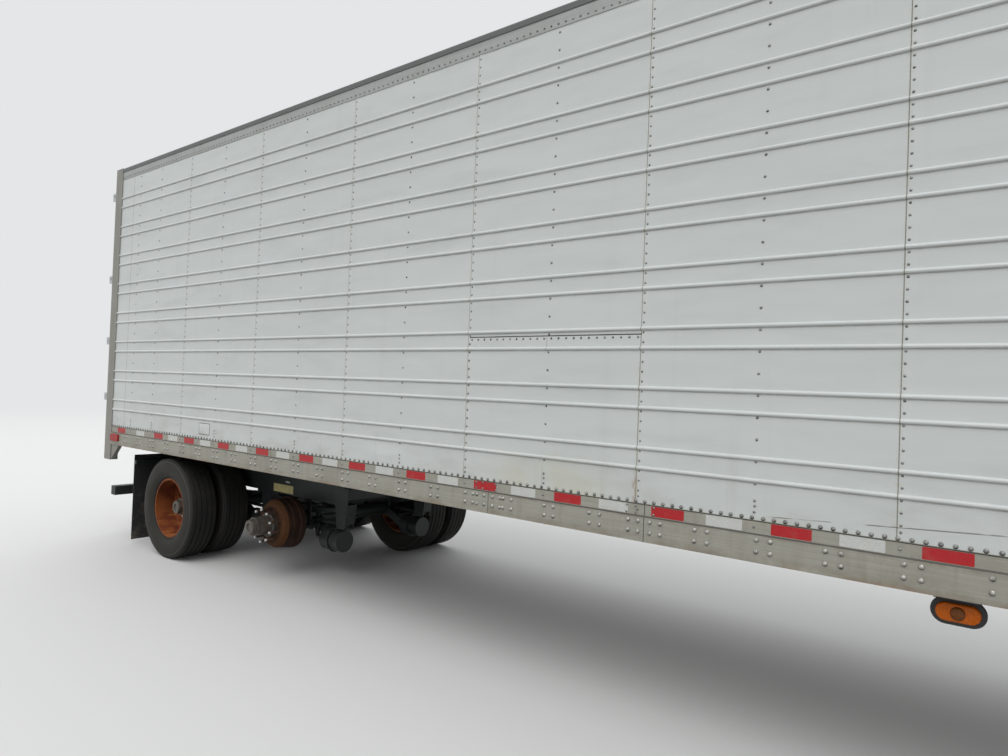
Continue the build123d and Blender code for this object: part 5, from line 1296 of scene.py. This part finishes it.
def dress_tyres(axle, side):
    """Replaces a plain pair of tyres by one with tread grooves and moulded sidewalls."""
    node = f"tyres_{axle}_{side}"
    low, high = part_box(node)
    axle_x, axle_z = middle_of(node)
    outline = tyre_outline(high.z - axle_z)
    heap = Heap()
    for middle in (low.y + TYRE_HALF, high.y - TYRE_HALF):
        heap.add(turned(outline, (axle_x, middle, axle_z), 120))
    made = heap.piece(f"dressed_{node}", f"wheel_{axle}_{side}", "tyre_rubber", smooth_angle=32)
    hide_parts(node)


def finish_nodes():
    """Gives each of the frame's own nodes the finish of its material slot."""
    slots = {part["node"]: part["material_slot"] for part in frame["record"]["subparts"]}
    for name, node in frame["nodes"].items():
        for place in node.material_slots:
            place.material = FINISHES[slots[name]]


def make_pieces():
    """Everything that is added to the frame's own nodes."""
    wall = Surface("side_wall_right", "side_wall_left", "repair_panel", "bottom_rails", "top_rails")
    for name, side in SIDES.items():
        wall_rivets(name, side, wall)
        rail_rivets(name, side, wall)
        sheet_laps(name, side)
        side_tape(name, side)
    small_plates()
    turn_lamps()
    rear_tape()
    door_seals()
    door_bolts()
    tail_lamp_rings()
    nose_rivets()
    unit_screws()
    for axle, side in (("rear", "right"), ("rear", "left"), ("front", "left")):
        dress_tyres(axle, side)


def make_stage():
    """A plain pale floor that fades into the pale surroundings."""
    mesh = bpy.data.meshes.new("studio_floor")
    mesh.from_pydata(circle(FLOOR_RADIUS, 0.0, FLOOR_SIDES), [], [list(range(FLOOR_SIDES))])
    floor = bpy.data.objects.new("studio_floor", mesh)
    bpy.context.scene.collection.objects.link(floor)
    ground = Finish("studio_floor")
    seen = ground.seen_directly()
    ground.done(ground.mix(seen, tint(0.250, 0.243, 0.230), tint(0.600, 0.595, 0.585)), 0.9)
    glow = ground.node("Emission", {}, {"Color": BACKGROUND, "Strength": 1.0})
    far = ground.vector("LENGTH", ground.place, output="Value").step(*FADE) * seen
    painted = Signal(ground, ground.shader.outputs[0])
    both = ground.node("MixShader", {}, {0: far, 1: painted, 2: glow})
    ground.links.new(both.socket, ground.nodes["Material Output"].inputs["Surface"])
    mesh.materials.append(ground.material)


def make_world():
    """An even overcast sky for light, and a plain pale background for the camera."""
    world = bpy.data.worlds.new("studio_sky")
    bpy.context.scene.world = world
    world.use_nodes = True
    world.node_tree.nodes.clear()
    graph = Graph(world.node_tree, "Generated")
    settings = {"From Min": -0.05, "From Max": 0.9, "To Min": 0.66, "To Max": 1.28}
    strength = graph.node("MapRange", {}, {"Value": graph.axis("Z"), **settings})
    sky = graph.node("Background", {}, {"Color": tint(0.96, 0.985, 1.0), "Strength": strength})
    plain = graph.node("Background", {}, {"Color": BACKGROUND})
    both = graph.node("MixShader", {}, {0: graph.seen_directly(), 1: sky, 2: plain})
    graph.node("OutputWorld", {}, {"Surface": both})


def make_lights():
    """One broad soft light from above and behind the camera, and a weaker one across from it."""
    for name, strength, spread, direction in (
        ("key_light", 1.15, 40, (-0.35, 0.80, -1.10)),
        ("fill_light", 0.35, 60, (0.60, -0.90, -0.70)),
    ):
        data = bpy.data.lights.new(name, "SUN")
        data.energy = strength
        data.angle = math.radians(spread)
        lamp = bpy.data.objects.new(name, data)
        lamp.rotation_mode = "QUATERNION"
        lamp.rotation_quaternion = Vector(direction).to_track_quat("-Z", "Y")
        bpy.context.scene.collection.objects.link(lamp)


def make_camera():
    """The photograph's camera, solved from the rail's rivets, the beads and the tyres."""
    forward = Vector((
        -math.sin(CAMERA_YAW) * math.cos(CAMERA_PITCH),
        math.cos(CAMERA_YAW) * math.cos(CAMERA_PITCH),
        math.sin(CAMERA_PITCH),
    ))
    level = forward.cross(Vector((0, 0, 1))).normalized()
    upright = level.cross(forward)
    right = math.cos(CAMERA_ROLL) * level + math.sin(CAMERA_ROLL) * upright
    up = math.cos(CAMERA_ROLL) * upright - math.sin(CAMERA_ROLL) * level
    data = bpy.data.cameras.new("photo_camera")
    data.sensor_fit = "HORIZONTAL"
    data.sensor_width = SENSOR_WIDTH
    data.lens = FOCAL_PIXELS * SENSOR_WIDTH / PHOTO_WIDTH
    data.clip_start = 0.05
    data.clip_end = 300.0
    camera = bpy.data.objects.new("photo_camera", data)
    turn = Matrix((right, up, -forward)).transposed()
    camera.matrix_world = Matrix.Translation(CAMERA_PLACE) @ turn.to_4x4()
    bpy.context.scene.collection.objects.link(camera)
    bpy.context.scene.camera = camera


bpy.context.scene.view_settings.view_transform = "Standard"
make_camera()
make_world()
make_lights()
make_stage()
finish_nodes()
make_pieces()
